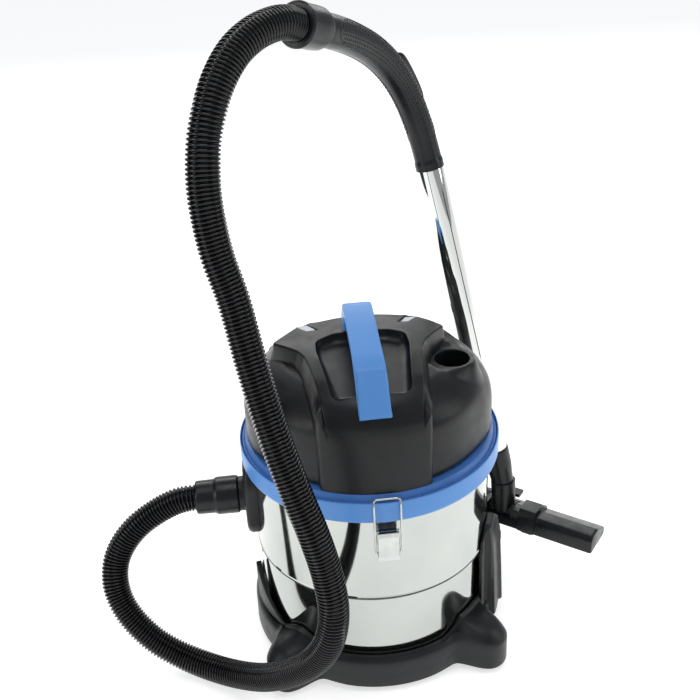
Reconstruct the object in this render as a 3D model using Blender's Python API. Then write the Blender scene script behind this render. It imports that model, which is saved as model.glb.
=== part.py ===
"""Wheeled shop vacuum: steel tank on a castored base, moulded motor head, hose, wand and nozzle.

Blender 4.5, metres, +Z up. The machine's own axis is the tank's axis: -Y is the front, with the
first latch, -X is the hose inlet, and the wand is parked at the right rear, on the +X side.
Everything hangs on one empty, which puts the middle of the object's footprint at the origin.
"""
import math

import bmesh
import bpy
from mathutils import Matrix, Quaternion, Vector
from mathutils.geometry import interpolate_bezier

GAP = 0.0003                 # clearance between pieces that touch

# Where the tank's axis stands, so that the footprint without the hose is centred on the origin.
AXIS_X = -0.05345
AXIS_Y = -0.01002

# Base
BASE_R = 0.168               # skirt, outside
BASE_LOW = 0.010
BASE_TOP = 0.055
SEAT_R = 0.1545              # round seat that holds the tank
SEAT_Z = 0.0362
TRAY_R = 0.146               # floor disc inside the skirt
CASTER_R = 0.184             # caster pins, from the tank's axis
CASTER_ANGLES = {"front_left": 225, "front_right": 315, "rear_left": 135, "rear_right": 45}
WELL_R = 0.0265
WELL_TOP = 0.044
LOBE_R = 0.0305              # how far a lobe reaches round its caster pin
WHEEL_R = 0.0145
WHEEL_HALF = 0.0070
CASTER_TRAIL = 0.0095        # wheel axle behind the swivel pin

# Tank
TANK_R = 0.156
TANK_LOWER_R = 0.1530
TANK_STEP_Z = 0.147
TANK_LOW = 0.0365
TANK_TOP = 0.2925
TANK_WALL = 0.0016
RIM_R = 0.166
RIM_LOW = 0.2762
RIM_TOP = 0.2932
INLET_Z = 0.216
INLET_Y = 0.0

# Motor head
RING_LOW = 0.2942
RING_TOP = 0.3110
HEAD_R = 0.1575
HEAD_LOW = 0.3114
HEAD_TOP = 0.4475
HEAD_X = -0.008              # middle of the saddle, the recess and the handle
SHOULDER_Z = 0.408           # the two lowered front shoulders
SHOULDER_EDGE = [            # edge of the right shoulder, from the middle of the saddle
    (0.060, -0.200), (0.065, -0.130), (0.0745, -0.060), (0.086, -0.016), (0.0985, 0.008), (0.113, 0.030),
    (0.118, 0.200), (0.200, 0.200), (0.200, -0.200),
]
DECK_EDGE = (0.0375, 0.4470)   # y and z of the deck's rear edge, where the crown starts to slope down
REAR_SLOPE = 0.56              # how far the rear slope falls for each metre back
RECESS_HALF = 0.050          # finger recess under the handle
PORT_X, PORT_Y, PORT_R = 0.104, -0.024, 0.0215
ROCKER_PIVOT = (-0.050, 0.1470, 0.360)
HANDLE_HALF = 0.0185

# Float valve: the ball rises to the hole in the motor plate
VALVE_R = 0.0190
BALL_R = 0.0240
BALL_Z = 0.2394

# Latches, front and rear
LATCH_PIVOT = Vector((0.0, -0.1655, 0.2600))
BAIL_PIVOT = Vector((0.0, -0.1705, 0.2340))
BAIL_HALF = 0.0158
BAIL_WIRE = 0.0015

# Hose, grip and wand
HOSE_R = 0.0178
CUFF_END_X = -0.2335
WAND_R = 0.0175
WAND_LOW = Vector((0.1930, 0.0900, 0.1870))
WAND_TOP = Vector((0.1080, 0.1415, 0.5975))
WAND_WAY = (WAND_TOP - WAND_LOW).normalized()
COLLAR_R = 0.0235
COLLAR_LONG = 0.047
# The grip bends in one plane, from the wand's line to the swivel collar.
GRIP_END = Vector((-0.0344, 0.0210, 0.8034))
GRIP_WAY = Vector((-0.594, -0.754, 0.280)).normalized()
GRIP_RISE = 0.113
GRIP_REACH = 0.139
SLIDER_AT = 9                # which point of the grip's line the air slider sits at
SLIDER_HALF = 0.034
SLIDER_WIDE = 0.0075

# Parked nozzle: u runs along its width to the front right, n points away from the tank.
NOZZLE_AT = Vector((0.2070, 0.0780, 0.0850))
NOZZLE_U = Vector((0.782, -0.623, 0.0)).normalized()
NOZZLE_HALF = 0.1440
NOZZLE_BACK = -0.0230
NOZZLE_FRONT = 0.0330
NOZZLE_LOW = -0.0165
NOZZLE_HIGH = 0.0140
ROLLER_U = 0.044
ROLLER_R = 0.0090

# Colour, roughness and metallic value of each material
FINISHES = {
    "black_plastic": ((0.030, 0.032, 0.035), 0.45, 0.0),
    "grey_plastic": ((0.085, 0.092, 0.100), 0.50, 0.0),
    "blue_plastic": ((0.080, 0.270, 0.720), 0.35, 0.0),
    "stainless": ((0.780, 0.780, 0.770), 0.12, 1.0),
    "chrome": ((0.850, 0.850, 0.860), 0.06, 1.0),
    "steel": ((0.520, 0.530, 0.540), 0.28, 1.0),
    "rubber": ((0.022, 0.022, 0.024), 0.75, 0.0),
    "hose": ((0.020, 0.021, 0.023), 0.30, 0.0),
    "filter_paper": ((0.780, 0.740, 0.620), 0.90, 0.0),
    "white_foam": ((0.850, 0.850, 0.830), 0.60, 0.0),
    "bristle": ((0.050, 0.050, 0.055), 0.90, 0.0),
    "copper": ((0.620, 0.280, 0.140), 0.35, 1.0),
}

# The hose's route, each point the middle of the hose. It leaves the inlet, drops in a loop on the
# left, rests on the floor, passes in front of the base, and climbs to the grip.
HOSE_ROUTE = [
    (-0.2338, 0.000, 0.2160), (-0.2470, 0.000, 0.2157), (-0.2640, 0.000, 0.2118), (-0.2880, -0.002, 0.2010),
    (-0.3130, -0.007, 0.1860), (-0.3330, -0.014, 0.1670), (-0.3460, -0.022, 0.1460),
    (-0.3510, -0.032, 0.1240), (-0.3490, -0.042, 0.1020), (-0.3390, -0.054, 0.0800),
    (-0.3220, -0.066, 0.0590), (-0.2990, -0.078, 0.0400), (-0.2660, -0.092, 0.0240),
    (-0.2300, -0.112, 0.0195), (-0.1940, -0.138, 0.0280), (-0.1590, -0.171, 0.0530),
    (-0.1250, -0.205, 0.0930), (-0.0970, -0.232, 0.1370), (-0.0800, -0.248, 0.1830),
    (-0.0740, -0.250, 0.2290), (-0.0790, -0.243, 0.2760), (-0.0900, -0.236, 0.3250),
    (-0.1050, -0.223, 0.3730), (-0.1210, -0.206, 0.4290), (-0.1380, -0.182, 0.5030),
    (-0.1510, -0.162, 0.5740), (-0.1640, -0.151, 0.6260), (-0.1695, -0.143, 0.6810),
    (-0.1660, -0.1345, 0.7270), (-0.1570, -0.122, 0.7600), (-0.1450, -0.106, 0.7860),
    (-0.1280, -0.086, 0.8070), (-0.1080, -0.065, 0.8190), (-0.0890, -0.045, 0.8230),
    (-0.0745, -0.0295, 0.8220), (-0.0623, -0.0145, 0.8166),
]
HOSE_STEP = 0.030            # spacing of the hose tube's rings


# ---------------------------------------------------------------- building helpers

def clear_scene():
    for old in list(bpy.data.objects):
        bpy.data.objects.remove(old, do_unlink=True)


def material(name):
    found = bpy.data.materials.get(name)
    if found:
        return found
    colour, roughness, metallic = FINISHES[name]
    made = bpy.data.materials.new(name)
    made.use_nodes = True
    shader = made.node_tree.nodes["Principled BSDF"]
    shader.inputs["Base Color"].default_value = (*colour, 1.0)
    shader.inputs["Roughness"].default_value = roughness
    shader.inputs["Metallic"].default_value = metallic
    made.diffuse_color = (*colour, 1.0)
    return made


def add_object(name, data, finish, origin):
    obj = bpy.data.objects.new(name, data)
    bpy.context.scene.collection.objects.link(obj)
    obj.parent = machine_axis
    obj.location = origin
    if finish:
        data.materials.append(material(finish))
    return obj


def add_mesh(name, bm, finish, origin=(0.0, 0.0, 0.0), smooth=True):
    """Turns a bmesh in machine coordinates into an object whose own origin is at origin."""
    bmesh.ops.remove_doubles(bm, verts=bm.verts, dist=1e-6)
    bmesh.ops.recalc_face_normals(bm, faces=bm.faces)
    bmesh.ops.translate(bm, verts=bm.verts, vec=-Vector(origin))
    mesh = bpy.data.meshes.new(name)
    bm.to_mesh(mesh)
    bm.free()
    if smooth:
        mesh.shade_smooth()
        mesh.set_sharp_from_angle(angle=math.radians(35))
    return add_object(name, mesh, finish, origin)


def turned(profile, steps=48, closed=False):
    """A bmesh of revolution about Z. Open profiles start and end on the axis."""
    bm = bmesh.new()
    rings = []
    for radius, height in profile:
        count = steps if radius > 0 else 1
        turn = [2 * math.pi * k / steps for k in range(count)]
        rings.append([bm.verts.new((radius * math.cos(a), radius * math.sin(a), height)) for a in turn])
    pairs = list(zip(rings, rings[1:]))
    if closed:
        pairs.append((rings[-1], rings[0]))
    for low, high in pairs:
        for k in range(steps):
            after = (k + 1) % steps
            corners = [low[k % len(low)], low[after % len(low)], high[after % len(high)], high[k % len(high)]]
            bm.faces.new(list(dict.fromkeys(corners)))
    return bm


def ring_profile(inner, outer, low, high):
    return [(inner, low), (outer, low), (outer, high), (inner, high)]


def rod_profile(radius, low, high):
    return [(0, low), (radius, low), (radius, high), (0, high)]


def aim(bm, start, direction):
    """Moves a bmesh made along +Z so that it starts at start and runs along direction."""
    turn = Vector((0, 0, 1)).rotation_difference(Vector(direction)).to_matrix().to_4x4()
    bm.transform(Matrix.Translation(Vector(start)) @ turn)
    return bm


def prism(outline, low, high, place=None):
    """Extrudes a flat outline, given in x and y, from z=low to z=high; place moves the result."""
    bm = bmesh.new()
    verts = [bm.verts.new((x, y, low)) for x, y in outline]
    floor = bm.faces.new(verts)
    lifted = bmesh.ops.extrude_face_region(bm, geom=[floor])
    top = [item for item in lifted["geom"] if isinstance(item, bmesh.types.BMVert)]
    bmesh.ops.translate(bm, verts=top, vec=(0, 0, high - low))
    if place:
        bm.transform(place)
    return bm


def block(low, high, bevel=0.0, place=None):
    (x0, y0, z0), (x1, y1, z1) = low, high
    bm = prism([(x0, y0), (x1, y0), (x1, y1), (x0, y1)], z0, z1)
    if bevel:
        bmesh.ops.bevel(bm, geom=bm.edges[:], offset=bevel, segments=2, profile=0.7, affect="EDGES")
    if place:
        bm.transform(place)
    return bm


def side_prism(outline, half):
    """Extrudes an outline drawn in y and z through x=-half to x=+half."""
    place = Matrix(((0, 0, 1, 0), (1, 0, 0, 0), (0, 1, 0, 0), (0, 0, 0, 1)))
    return prism(outline, -half, half, place)


def sector(inner, outer, start, end, steps=8):
    """The outline of part of a ring, angles in degrees."""
    turn = [math.radians(start + (end - start) * k / steps) for k in range(steps + 1)]
    arc = [(outer * math.cos(a), outer * math.sin(a)) for a in turn]
    return arc + [(inner * math.cos(a), inner * math.sin(a)) for a in reversed(turn)]


def boolean(obj, cutter, operation):
    cutter.hide_render = True
    cutter.display_type = "WIRE"
    modifier = obj.modifiers.new(cutter.name, "BOOLEAN")
    modifier.operation = operation
    modifier.object = cutter


def cut(obj, name, bm):
    boolean(obj, add_mesh(f"cut_{name}", bm, None, smooth=False), "DIFFERENCE")


def join(obj, name, bm):
    boolean(obj, add_mesh(f"add_{name}", bm, None, smooth=False), "UNION")


def smooth_line(points, step):
    """Points about step apart on a smooth curve through the given points."""
    points = [Vector(p) for p in points]
    line = []
    for k in range(len(points) - 1):
        before = points[max(k - 1, 0)]
        after = points[min(k + 2, len(points) - 1)]
        start, end = points[k], points[k + 1]
        lean_out = (end - before) / 6
        lean_in = (after - start) / 6
        count = max(2, round((end - start).length / step) + 1)
        line += interpolate_bezier(start, start + lean_out, end - lean_in, end, count)[:-1]
    return line + [points[-1]]


def frames_along(line):
    """A cross direction at each point of a line, carried along it without twist."""
    ways = []
    for k, point in enumerate(line):
        ways.append((line[min(k + 1, len(line) - 1)] - line[max(k - 1, 0)]).normalized())
    side = ways[0].orthogonal().normalized()
    sides = []
    for k, way in enumerate(ways):
        if k:
            side = ways[k - 1].rotation_difference(way) @ side
        side = (side - side.dot(way) * way).normalized()
        sides.append(side)
    return ways, sides


def pipe(line, outer, inner, sides=20):
    """A hollow pipe along a line."""
    bm = bmesh.new()
    ways, crosses = frames_along(line)
    walls = []
    for radius in (outer, inner):
        rings = []
        for point, way, cross in zip(line, ways, crosses):
            turns = [Quaternion(way, 2 * math.pi * k / sides) @ cross for k in range(sides)]
            rings.append([bm.verts.new(point + radius * turn) for turn in turns])
        walls.append(rings)
    outside, inside = walls
    around = outside + inside[::-1] + [outside[0]]
    for low, high in zip(around, around[1:]):
        for k in range(sides):
            after = (k + 1) % sides
            bm.faces.new((low[k], low[after], high[after], high[k]))
    return bm


def wire(name, line, radius, finish, origin, rounds=2):
    """A solid round wire or tube, as a curve with a bevel."""
    origin = Vector(origin)
    curve = bpy.data.curves.new(name, "CURVE")
    curve.dimensions = "3D"
    curve.bevel_depth = radius
    curve.bevel_resolution = rounds
    curve.use_fill_caps = True
    spline = curve.splines.new("POLY")
    spline.points.add(len(line) - 1)
    for spot, point in zip(spline.points, line):
        spot.co = (*(Vector(point) - origin), 1.0)
    spline.use_smooth = True
    return add_object(name, curve, finish, origin)


def polar(radius, degrees, height=0.0):
    turn = math.radians(degrees)
    return Vector((radius * math.cos(turn), radius * math.sin(turn), height))


# ---------------------------------------------------------------- base and casters

def base_outline(steps=80):
    """The skirt's circle with a rounded lobe over each caster."""
    outline = []
    for k in range(steps):
        degrees = 360 * k / steps
        ray = polar(1, degrees)
        reach = BASE_R
        for angle in CASTER_ANGLES.values():
            pin = polar(CASTER_R, angle)
            along = ray.dot(pin)
            off = (pin - along * ray).length
            if along > 0 and off < LOBE_R:
                reach = max(reach, along + math.sqrt(LOBE_R ** 2 - off ** 2))
        outline.append((reach * ray.x, reach * ray.y))
    return outline


def build_base():
    dolly = add_mesh("base_dolly", prism(base_outline(), BASE_LOW, BASE_TOP), "black_plastic")
    cut(dolly, "tank_seat", turned(rod_profile(SEAT_R, SEAT_Z, 0.1)))
    cut(dolly, "middle", turned(rod_profile(TRAY_R, 0.0, 0.1)))
    tray = turned(rod_profile(TRAY_R - GAP, SEAT_Z - 0.0060, SEAT_Z))
    add_mesh("base_tray", tray, "black_plastic")
    for place, angle in CASTER_ANGLES.items():
        well = turned([(0, 0), (WELL_R, 0), (WELL_R, WELL_TOP), (0, WELL_TOP)], 16)
        bmesh.ops.translate(well, verts=well.verts, vec=polar(CASTER_R, angle))
        cut(dolly, f"well_{place}", well)
        socket = turned(rod_profile(0.0045, 0.040, 0.0505), 16)
        bmesh.ops.translate(socket, verts=socket.verts, vec=polar(CASTER_R, angle))
        cut(dolly, f"socket_{place}", socket)

    arm = prism(sector(0.1570, 0.1650, 178, 212), BASE_TOP + GAP, 0.128)
    add_mesh("left_cradle_arm", arm, "black_plastic")
    post = prism(sector(0.1572, 0.1765, -29, -11), BASE_TOP + GAP, 0.172)
    holder = add_mesh("nozzle_post", post, "black_plastic")
    slot = prism(sector(0.1610, 0.1900, -22.5, -17.5, 2), 0.140, 0.180)
    cut(holder, "parking_slot", slot)
    nozzle_place = nozzle_matrix()
    rest = block((-0.118, -0.021, BASE_TOP + GAP), (-0.088, -0.0105, 0.0681), 0.0015)
    rest.transform(Matrix.Translation((NOZZLE_AT.x, NOZZLE_AT.y, 0)) @ nozzle_place.to_3x3().to_4x4())
    add_mesh("nozzle_rest", rest, "black_plastic")


def build_casters():
    for place, angle in CASTER_ANGLES.items():
        pin = polar(CASTER_R, angle)
        turn = Matrix.Translation(pin) @ Matrix.Rotation(math.radians(angle), 4, "Z")
        fork_side = [
            (-0.0098, 0.0085), (-0.0098, 0.0350), (0.0098, 0.0350), (0.0098, 0.0085),
            (0.0076, 0.0085), (0.0076, 0.0325), (-0.0076, 0.0325), (-0.0076, 0.0085),
        ]
        place_fork = Matrix(((0, 0, 1, 0), (1, 0, 0, 0), (0, 1, 0, 0), (0, 0, 0, 1)))
        fork = prism(fork_side, -CASTER_TRAIL - 0.0050, 0.0060, turn @ place_fork)
        swivel = add_mesh(f"caster_fork_{place}", fork, "grey_plastic", pin)
        stem = turned(rod_profile(0.0040, 0.0340, 0.0495), 16)
        bmesh.ops.translate(stem, verts=stem.verts, vec=pin)
        join(swivel, f"stem_{place}", stem)
        axle_at = turn @ Vector((-CASTER_TRAIL, 0, WHEEL_R))
        across = turn.to_3x3() @ Vector((0, 1, 0))
        hole = aim(turned(rod_profile(0.0021, -0.012, 0.012), 12), axle_at, across)
        cut(swivel, f"axle_hole_{place}", hole)
        wheel = [
            (0.0023, -WHEEL_HALF), (WHEEL_R - 0.0015, -WHEEL_HALF), (WHEEL_R, -WHEEL_HALF + 0.0015),
            (WHEEL_R, WHEEL_HALF - 0.0015), (WHEEL_R - 0.0015, WHEEL_HALF), (0.0023, WHEEL_HALF),
        ]
        tyre = aim(turned(wheel, 16, closed=True), axle_at, across)
        add_mesh(f"caster_wheel_{place}", tyre, "rubber", axle_at)
        axle = aim(turned(rod_profile(0.0018, -0.0096, 0.0096), 12), axle_at, across)
        add_mesh(f"caster_axle_{place}", axle, "steel", axle_at)


# ---------------------------------------------------------------- tank and latches

def build_tank():
    skin = [
        (0, TANK_LOW), (TANK_LOWER_R - 0.004, TANK_LOW), (TANK_LOWER_R, TANK_LOW + 0.004),
        (TANK_LOWER_R, TANK_STEP_Z), (TANK_R, TANK_STEP_Z + 0.004), (TANK_R, TANK_TOP),
        (TANK_R - TANK_WALL, TANK_TOP), (TANK_R - TANK_WALL, TANK_STEP_Z + 0.005),
        (TANK_LOWER_R - TANK_WALL, TANK_STEP_Z + 0.001), (TANK_LOWER_R - TANK_WALL, TANK_LOW + 0.005),
        (TANK_LOWER_R - 0.006, TANK_LOW + TANK_WALL), (0, TANK_LOW + TANK_WALL),
    ]
    tank = add_mesh("tank", turned(skin, 48), "stainless")
    bore = aim(turned(rod_profile(0.0250, 0.0, 0.04), 24), (-0.175, INLET_Y, INLET_Z), (1, 0, 0))
    cut(tank, "inlet_hole", bore)

    rim = [
        (TANK_R + GAP, RIM_LOW), (RIM_R - 0.001, RIM_LOW), (RIM_R, RIM_LOW + 0.001),
        (RIM_R, RIM_TOP - 0.002), (RIM_R - 0.002, RIM_TOP), (TANK_R + GAP, RIM_TOP),
    ]
    add_mesh("tank_rim", turned(rim, 48, closed=True), "blue_plastic")

    outline = []
    for k in range(24):
        turn = 2 * math.pi * k / 24
        outline.append((0.036 * math.cos(turn), 0.036 * math.sin(turn) + math.copysign(0.021, math.sin(turn))))
    lie = Matrix(((0, 0, -1, 0), (1, 0, 0, INLET_Y), (0, 1, 0, 0.2155), (0, 0, 0, 1)))
    boss = add_mesh("inlet_boss", prism(outline, 0.1400, 0.1690, lie), "black_plastic")
    cut(boss, "boss_back", turned(rod_profile(TANK_R + GAP, 0.0, 0.5), 48))
    spigot = aim(turned(rod_profile(0.0290, 0.0, 0.012), 32), (-0.164, INLET_Y, INLET_Z), (-1, 0, 0))
    join(boss, "spigot", spigot)
    duct = aim(turned(rod_profile(0.0175, -0.03, 0.03), 24), (-0.164, INLET_Y, INLET_Z), (-1, 0, 0))
    cut(boss, "duct", duct)


def latch_turn(side):
    """The front latch is drawn; the rear one is the same turned half round."""
    return Matrix.Rotation(0 if side == "front" else math.pi, 4, "Z")


def build_latches():
    for side in ("front", "rear"):
        turn = latch_turn(side)
        plate = [
            (-TANK_R - 0.0006, 0.2140), (-TANK_R - 0.0020, 0.2140), (-TANK_R - 0.0020, 0.2520),
            (-0.1640, 0.2555), (-0.1690, 0.2555), (-0.1690, 0.2630), (-0.1640, 0.2650),
            (-TANK_R - 0.0020, 0.2680), (-TANK_R - 0.0006, 0.2680),
        ]
        base = side_prism(plate, 0.0110)
        base.transform(turn)
        plate_obj = add_mesh(f"latch_base_{side}", base, "steel", smooth=False)
        pin_room = aim(turned(rod_profile(0.0022, -0.02, 0.02), 12), turn @ LATCH_PIVOT, (1, 0, 0))
        cut(plate_obj, f"latch_pin_{side}", pin_room)
        pivot = turn @ LATCH_PIVOT
        y0 = BAIL_PIVOT.y
        cheek = [
            (-0.1625, 0.2635), (-0.1685, 0.2635), (-0.1728, 0.2560), (y0 - 0.0030, 0.2300),
            (-0.1700, 0.2120), (-0.1685, 0.2120), (-0.1670, 0.2300), (-0.1640, 0.2540),
        ]
        lever = side_prism(cheek, 0.0136)
        lever.transform(turn)
        lever_obj = add_mesh(f"latch_lever_{side}", lever, "steel", pivot, smooth=False)
        room = block((-0.0113, -0.1716, 0.2400), (0.0113, -0.1500, 0.2720))
        room.transform(turn)
        cut(lever_obj, f"lever_room_{side}", room)
        pin = aim(turned(rod_profile(0.0018, -0.0130, 0.0130), 12), pivot, (1, 0, 0))
        join(lever_obj, f"lever_pin_{side}", pin)
        eye = aim(turned(rod_profile(0.0017, -0.02, 0.02), 12), turn @ BAIL_PIVOT, (1, 0, 0))
        cut(lever_obj, f"lever_eye_{side}", eye)

        half = BAIL_HALF
        low = BAIL_PIVOT.z
        route = [
            (0.0118, y0, low), (half - 0.001, y0, low), (half, y0, low + 0.001),
            (half, -0.1700, 0.2900), (half, -0.1690, 0.3020), (half - 0.0008, -0.1650, 0.3075),
        ]
        route += [(-x, y, z) for x, y, z in reversed(route)]
        line = [turn @ Vector(point) for point in route]
        wire(f"latch_bail_{side}", line, 0.0012, "steel", turn @ BAIL_PIVOT)


# ---------------------------------------------------------------- motor head

HEAD_SKIN = [
    (HEAD_R, HEAD_LOW), (HEAD_R, 0.390), (0.1540, 0.408), (0.1420, 0.422), (0.1200, 0.434),
    (0.0850, 0.4425), (0.0400, 0.4470), (0, HEAD_TOP),
]


def build_head():
    ring = [
        (0.1480, RING_LOW), (RIM_R - 0.0005, RING_LOW), (RIM_R - 0.0005, RING_LOW + 0.0015),
        (0.1590, RING_TOP), (0.1480, RING_TOP),
    ]
    add_mesh("lid_ring", turned(ring, 48, closed=True), "blue_plastic")
    add_mesh("lid_seal", turned(ring_profile(0.1485, 0.1540, 0.2845, RING_LOW - GAP), 32, closed=True), "rubber")

    cover = add_mesh("motor_cover", turned([(0, HEAD_LOW)] + HEAD_SKIN, 48), "black_plastic")
    hollow = [(0, 0.30), (0.1540, 0.30), (0.1540, 0.360), (0.1250, 0.385), (0.1050, 0.394), (0, 0.394)]
    cut(cover, "cavity", turned(hollow, 48))
    edge_y, edge_z = DECK_EDGE
    back_z = edge_z - REAR_SLOPE * (0.200 - edge_y)
    slope = side_prism([(edge_y, edge_z), (0.200, back_z), (0.200, 0.500), (edge_y, 0.500)], 0.200)
    cut(cover, "rear_slope", slope)
    for name, way in (("left", -1), ("right", 1)):
        edge = [(HEAD_X + way * x, y) for x, y in SHOULDER_EDGE]
        cut(cover, f"shoulder_{name}", prism(edge, SHOULDER_Z, 0.50))
    recess = side_prism([(-0.128, 0.4210), (-0.010, 0.4350), (-0.010, 0.50), (-0.128, 0.50)], RECESS_HALF)
    bmesh.ops.translate(recess, verts=recess.verts, vec=(HEAD_X, 0, 0))
    cut(cover, "finger_recess", recess)
    port = turned(rod_profile(PORT_R, 0.38, 0.46), 32)
    bmesh.ops.translate(port, verts=port.verts, vec=(PORT_X, PORT_Y, 0))
    cut(cover, "blow_port", port)
    cut(cover, "switch_window", block((-0.062, 0.130, 0.345), (-0.038, 0.170, 0.375)))
    cord_hole = aim(turned(rod_profile(0.0082, 0.0, 0.05), 16), (0.040, 0.125, 0.335), (0, 1, 0))
    cut(cover, "cord_hole", cord_hole)

    outer = [
        (-0.1600, 0.4040), (-0.1520, 0.4160), (-0.1180, 0.4520), (-0.1080, 0.4560), (-0.0700, 0.4640),
        (-0.0300, 0.4715), (0.0050, 0.4765), (0.0130, 0.4760), (0.0210, 0.4710), (0.0260, 0.4620),
        (0.0275, 0.4400),
    ]
    inner = [
        (-0.0040, 0.4400), (-0.0045, 0.4560), (-0.0100, 0.4625), (-0.0190, 0.4636), (-0.0300, 0.4620),
        (-0.0700, 0.4545), (-0.1050, 0.4460), (-0.1180, 0.4410), (-0.1270, 0.4320), (-0.1285, 0.4040),
    ]
    strap = side_prism(outer + inner, HANDLE_HALF)
    bmesh.ops.translate(strap, verts=strap.verts, vec=(HEAD_X, 0, 0))
    handle = add_mesh("carry_handle", strap, "blue_plastic")
    clear = [(0, 0.30), (HEAD_R + GAP, 0.30)]
    clear += [(radius + GAP, height + GAP) for radius, height in HEAD_SKIN[1:-1]] + [(0, HEAD_TOP + GAP)]
    cut(handle, "head_skin", turned(clear, 48))

    switch = block((-0.0615, 0.1440, 0.3465), (-0.0385, 0.1535, 0.3735), 0.0015)
    add_mesh("power_rocker", switch, "blue_plastic", ROCKER_PIVOT)
    gland_at = Vector((0.040, 0.1440, 0.335))
    gland = [(0, 0.0), (0.0078, 0.0), (0.0078, 0.0130), (0.0055, 0.0220), (0.0050, 0.0300), (0, 0.0300)]
    gland_obj = add_mesh("cable_gland", aim(turned(gland, 16), gland_at, (0, 1, 0)), "rubber", gland_at)
    cut(gland_obj, "gland_bore", aim(turned(rod_profile(0.0030, 0.006, 0.04), 12), gland_at, (0, 1, 0)))


def build_motor():
    plate = ring_profile(VALVE_R, 0.1475, 0.2990, 0.3060)
    add_mesh("motor_plate", turned(plate, 32, closed=True), "black_plastic")
    case = [
        (0.0110, 0.3400), (0.0520, 0.3400), (0.0520, 0.3800), (0.0400, 0.3880), (0.0110, 0.3880),
    ]
    add_mesh("motor_body", turned(case, 24, closed=True), "steel")
    shroud = [
        (0.0350, 0.3064), (0.0640, 0.3064), (0.0640, 0.3390), (0.0110, 0.3390), (0.0110, 0.3370),
        (0.0620, 0.3370), (0.0620, 0.3084), (0.0350, 0.3084),
    ]
    add_mesh("fan_housing", turned(shroud, 24, closed=True), "steel")
    impeller = [
        (0.0042, 0.3110), (0.0580, 0.3110), (0.0580, 0.3150), (0.0300, 0.3330), (0.0042, 0.3330),
    ]
    add_mesh("impeller", turned(impeller, 24, closed=True), "steel", (0, 0, 0.322))
    shaft = turned(rod_profile(0.0039, 0.3095, 0.3900), 16)
    add_mesh("motor_shaft", shaft, "steel", (0, 0, 0.350))
    cage = [
        (0.0480, 0.2150), (0.0520, 0.2150), (0.0520, 0.2987), (0.0480, 0.2987),
    ]
    cage_obj = add_mesh("filter_cage", turned(cage, 24, closed=True), "grey_plastic")
    for k in range(4):
        turn = Matrix.Rotation(math.radians(45 * k), 4, "Z")
        window = block((-0.070, -0.0130, 0.2300), (0.070, 0.0130, 0.2850), 0.0, turn)
        cut(cage_obj, f"cage_window_{k}", window)
    paper = ring_profile(0.0530, 0.0720, 0.2180, 0.2985)
    add_mesh("filter_cartridge", turned(paper, 24, closed=True), "filter_paper")
    cap = [(0, 0.2100), (0.0740, 0.2100), (0.0740, 0.2176), (0.0560, 0.2176), (0.0560, 0.2146), (0, 0.2146)]
    add_mesh("filter_cap", turned(cap, 24), "black_plastic")
    ball = []
    for k in range(9):
        turn = math.pi * k / 8
        ball.append((BALL_R * math.sin(turn) if 0 < k < 8 else 0, BALL_Z - BALL_R * math.cos(turn)))
    add_mesh("float_ball", turned(ball, 16), "white_foam", (0, 0, BALL_Z))


# ---------------------------------------------------------------- hose, grip and wand

def grip_line(count):
    """The grip's middle line, from the swivel collar to the wand, with a short straight piece at each end."""
    high_end = GRIP_END - GRIP_WAY * 0.003
    low_end = WAND_TOP + WAND_WAY * 0.003
    high_lead = GRIP_END - GRIP_WAY * GRIP_REACH
    low_lead = WAND_TOP + WAND_WAY * GRIP_RISE
    bend = interpolate_bezier(high_end, high_lead, low_lead, low_end, count)
    return [GRIP_END] + bend + [WAND_TOP + WAND_WAY * GAP]


def build_hose():
    cuff = [
        (0.0185, 0.0), (0.0250, 0.0), (0.0250, 0.0250), (0.0225, 0.0300), (0.0225, 0.0568), (0.0140, 0.0568),
        (0.0140, 0.0200), (0.0185, 0.0200),
    ]
    start = Vector((-0.1765, INLET_Y, INLET_Z))
    add_mesh("hose_cuff", aim(turned(cuff, 20, closed=True), start, (-1, 0, 0)), "black_plastic", start)
    wire("suction_hose", smooth_line(HOSE_ROUTE, HOSE_STEP), HOSE_R, "hose", (0, 0, 0), 3)

    collar = [
        (0.0135, GAP), (0.0205, GAP), (0.0205, 0.0190), (COLLAR_R, 0.0220), (COLLAR_R, COLLAR_LONG - 0.003),
        (COLLAR_R - 0.002, COLLAR_LONG - GAP), (0.0135, COLLAR_LONG - GAP),
    ]
    collar_bm = aim(turned(collar, 20, closed=True), GRIP_END, GRIP_WAY)
    add_mesh("swivel_collar", collar_bm, "black_plastic", GRIP_END)

    line = grip_line(14)
    add_mesh("grip", pipe(line, WAND_R, 0.0145, 16), "black_plastic", GRIP_END)
    add_mesh("wand_tube", pipe([WAND_TOP, WAND_LOW], WAND_R, 0.0163, 24), "chrome", WAND_LOW)

    add_mesh("air_slider", slider_block(line), "black_plastic", line[SLIDER_AT])


def bend_frame(line, k):
    """The way along the grip at point k, the way out of its bend, and the bend's centre and radius there."""
    before, here, after = line[k - 3], line[k], line[k + 3]
    along = (after - before).normalized()
    inward = ((before + after) / 2 - here)
    inward = (inward - inward.dot(along) * along).normalized()
    chord = (after - before).length / 2
    depth = ((before + after) / 2 - here).dot(inward)
    radius = (chord ** 2 + depth ** 2) / (2 * depth)
    return along, -inward, here + inward * radius, radius


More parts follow.
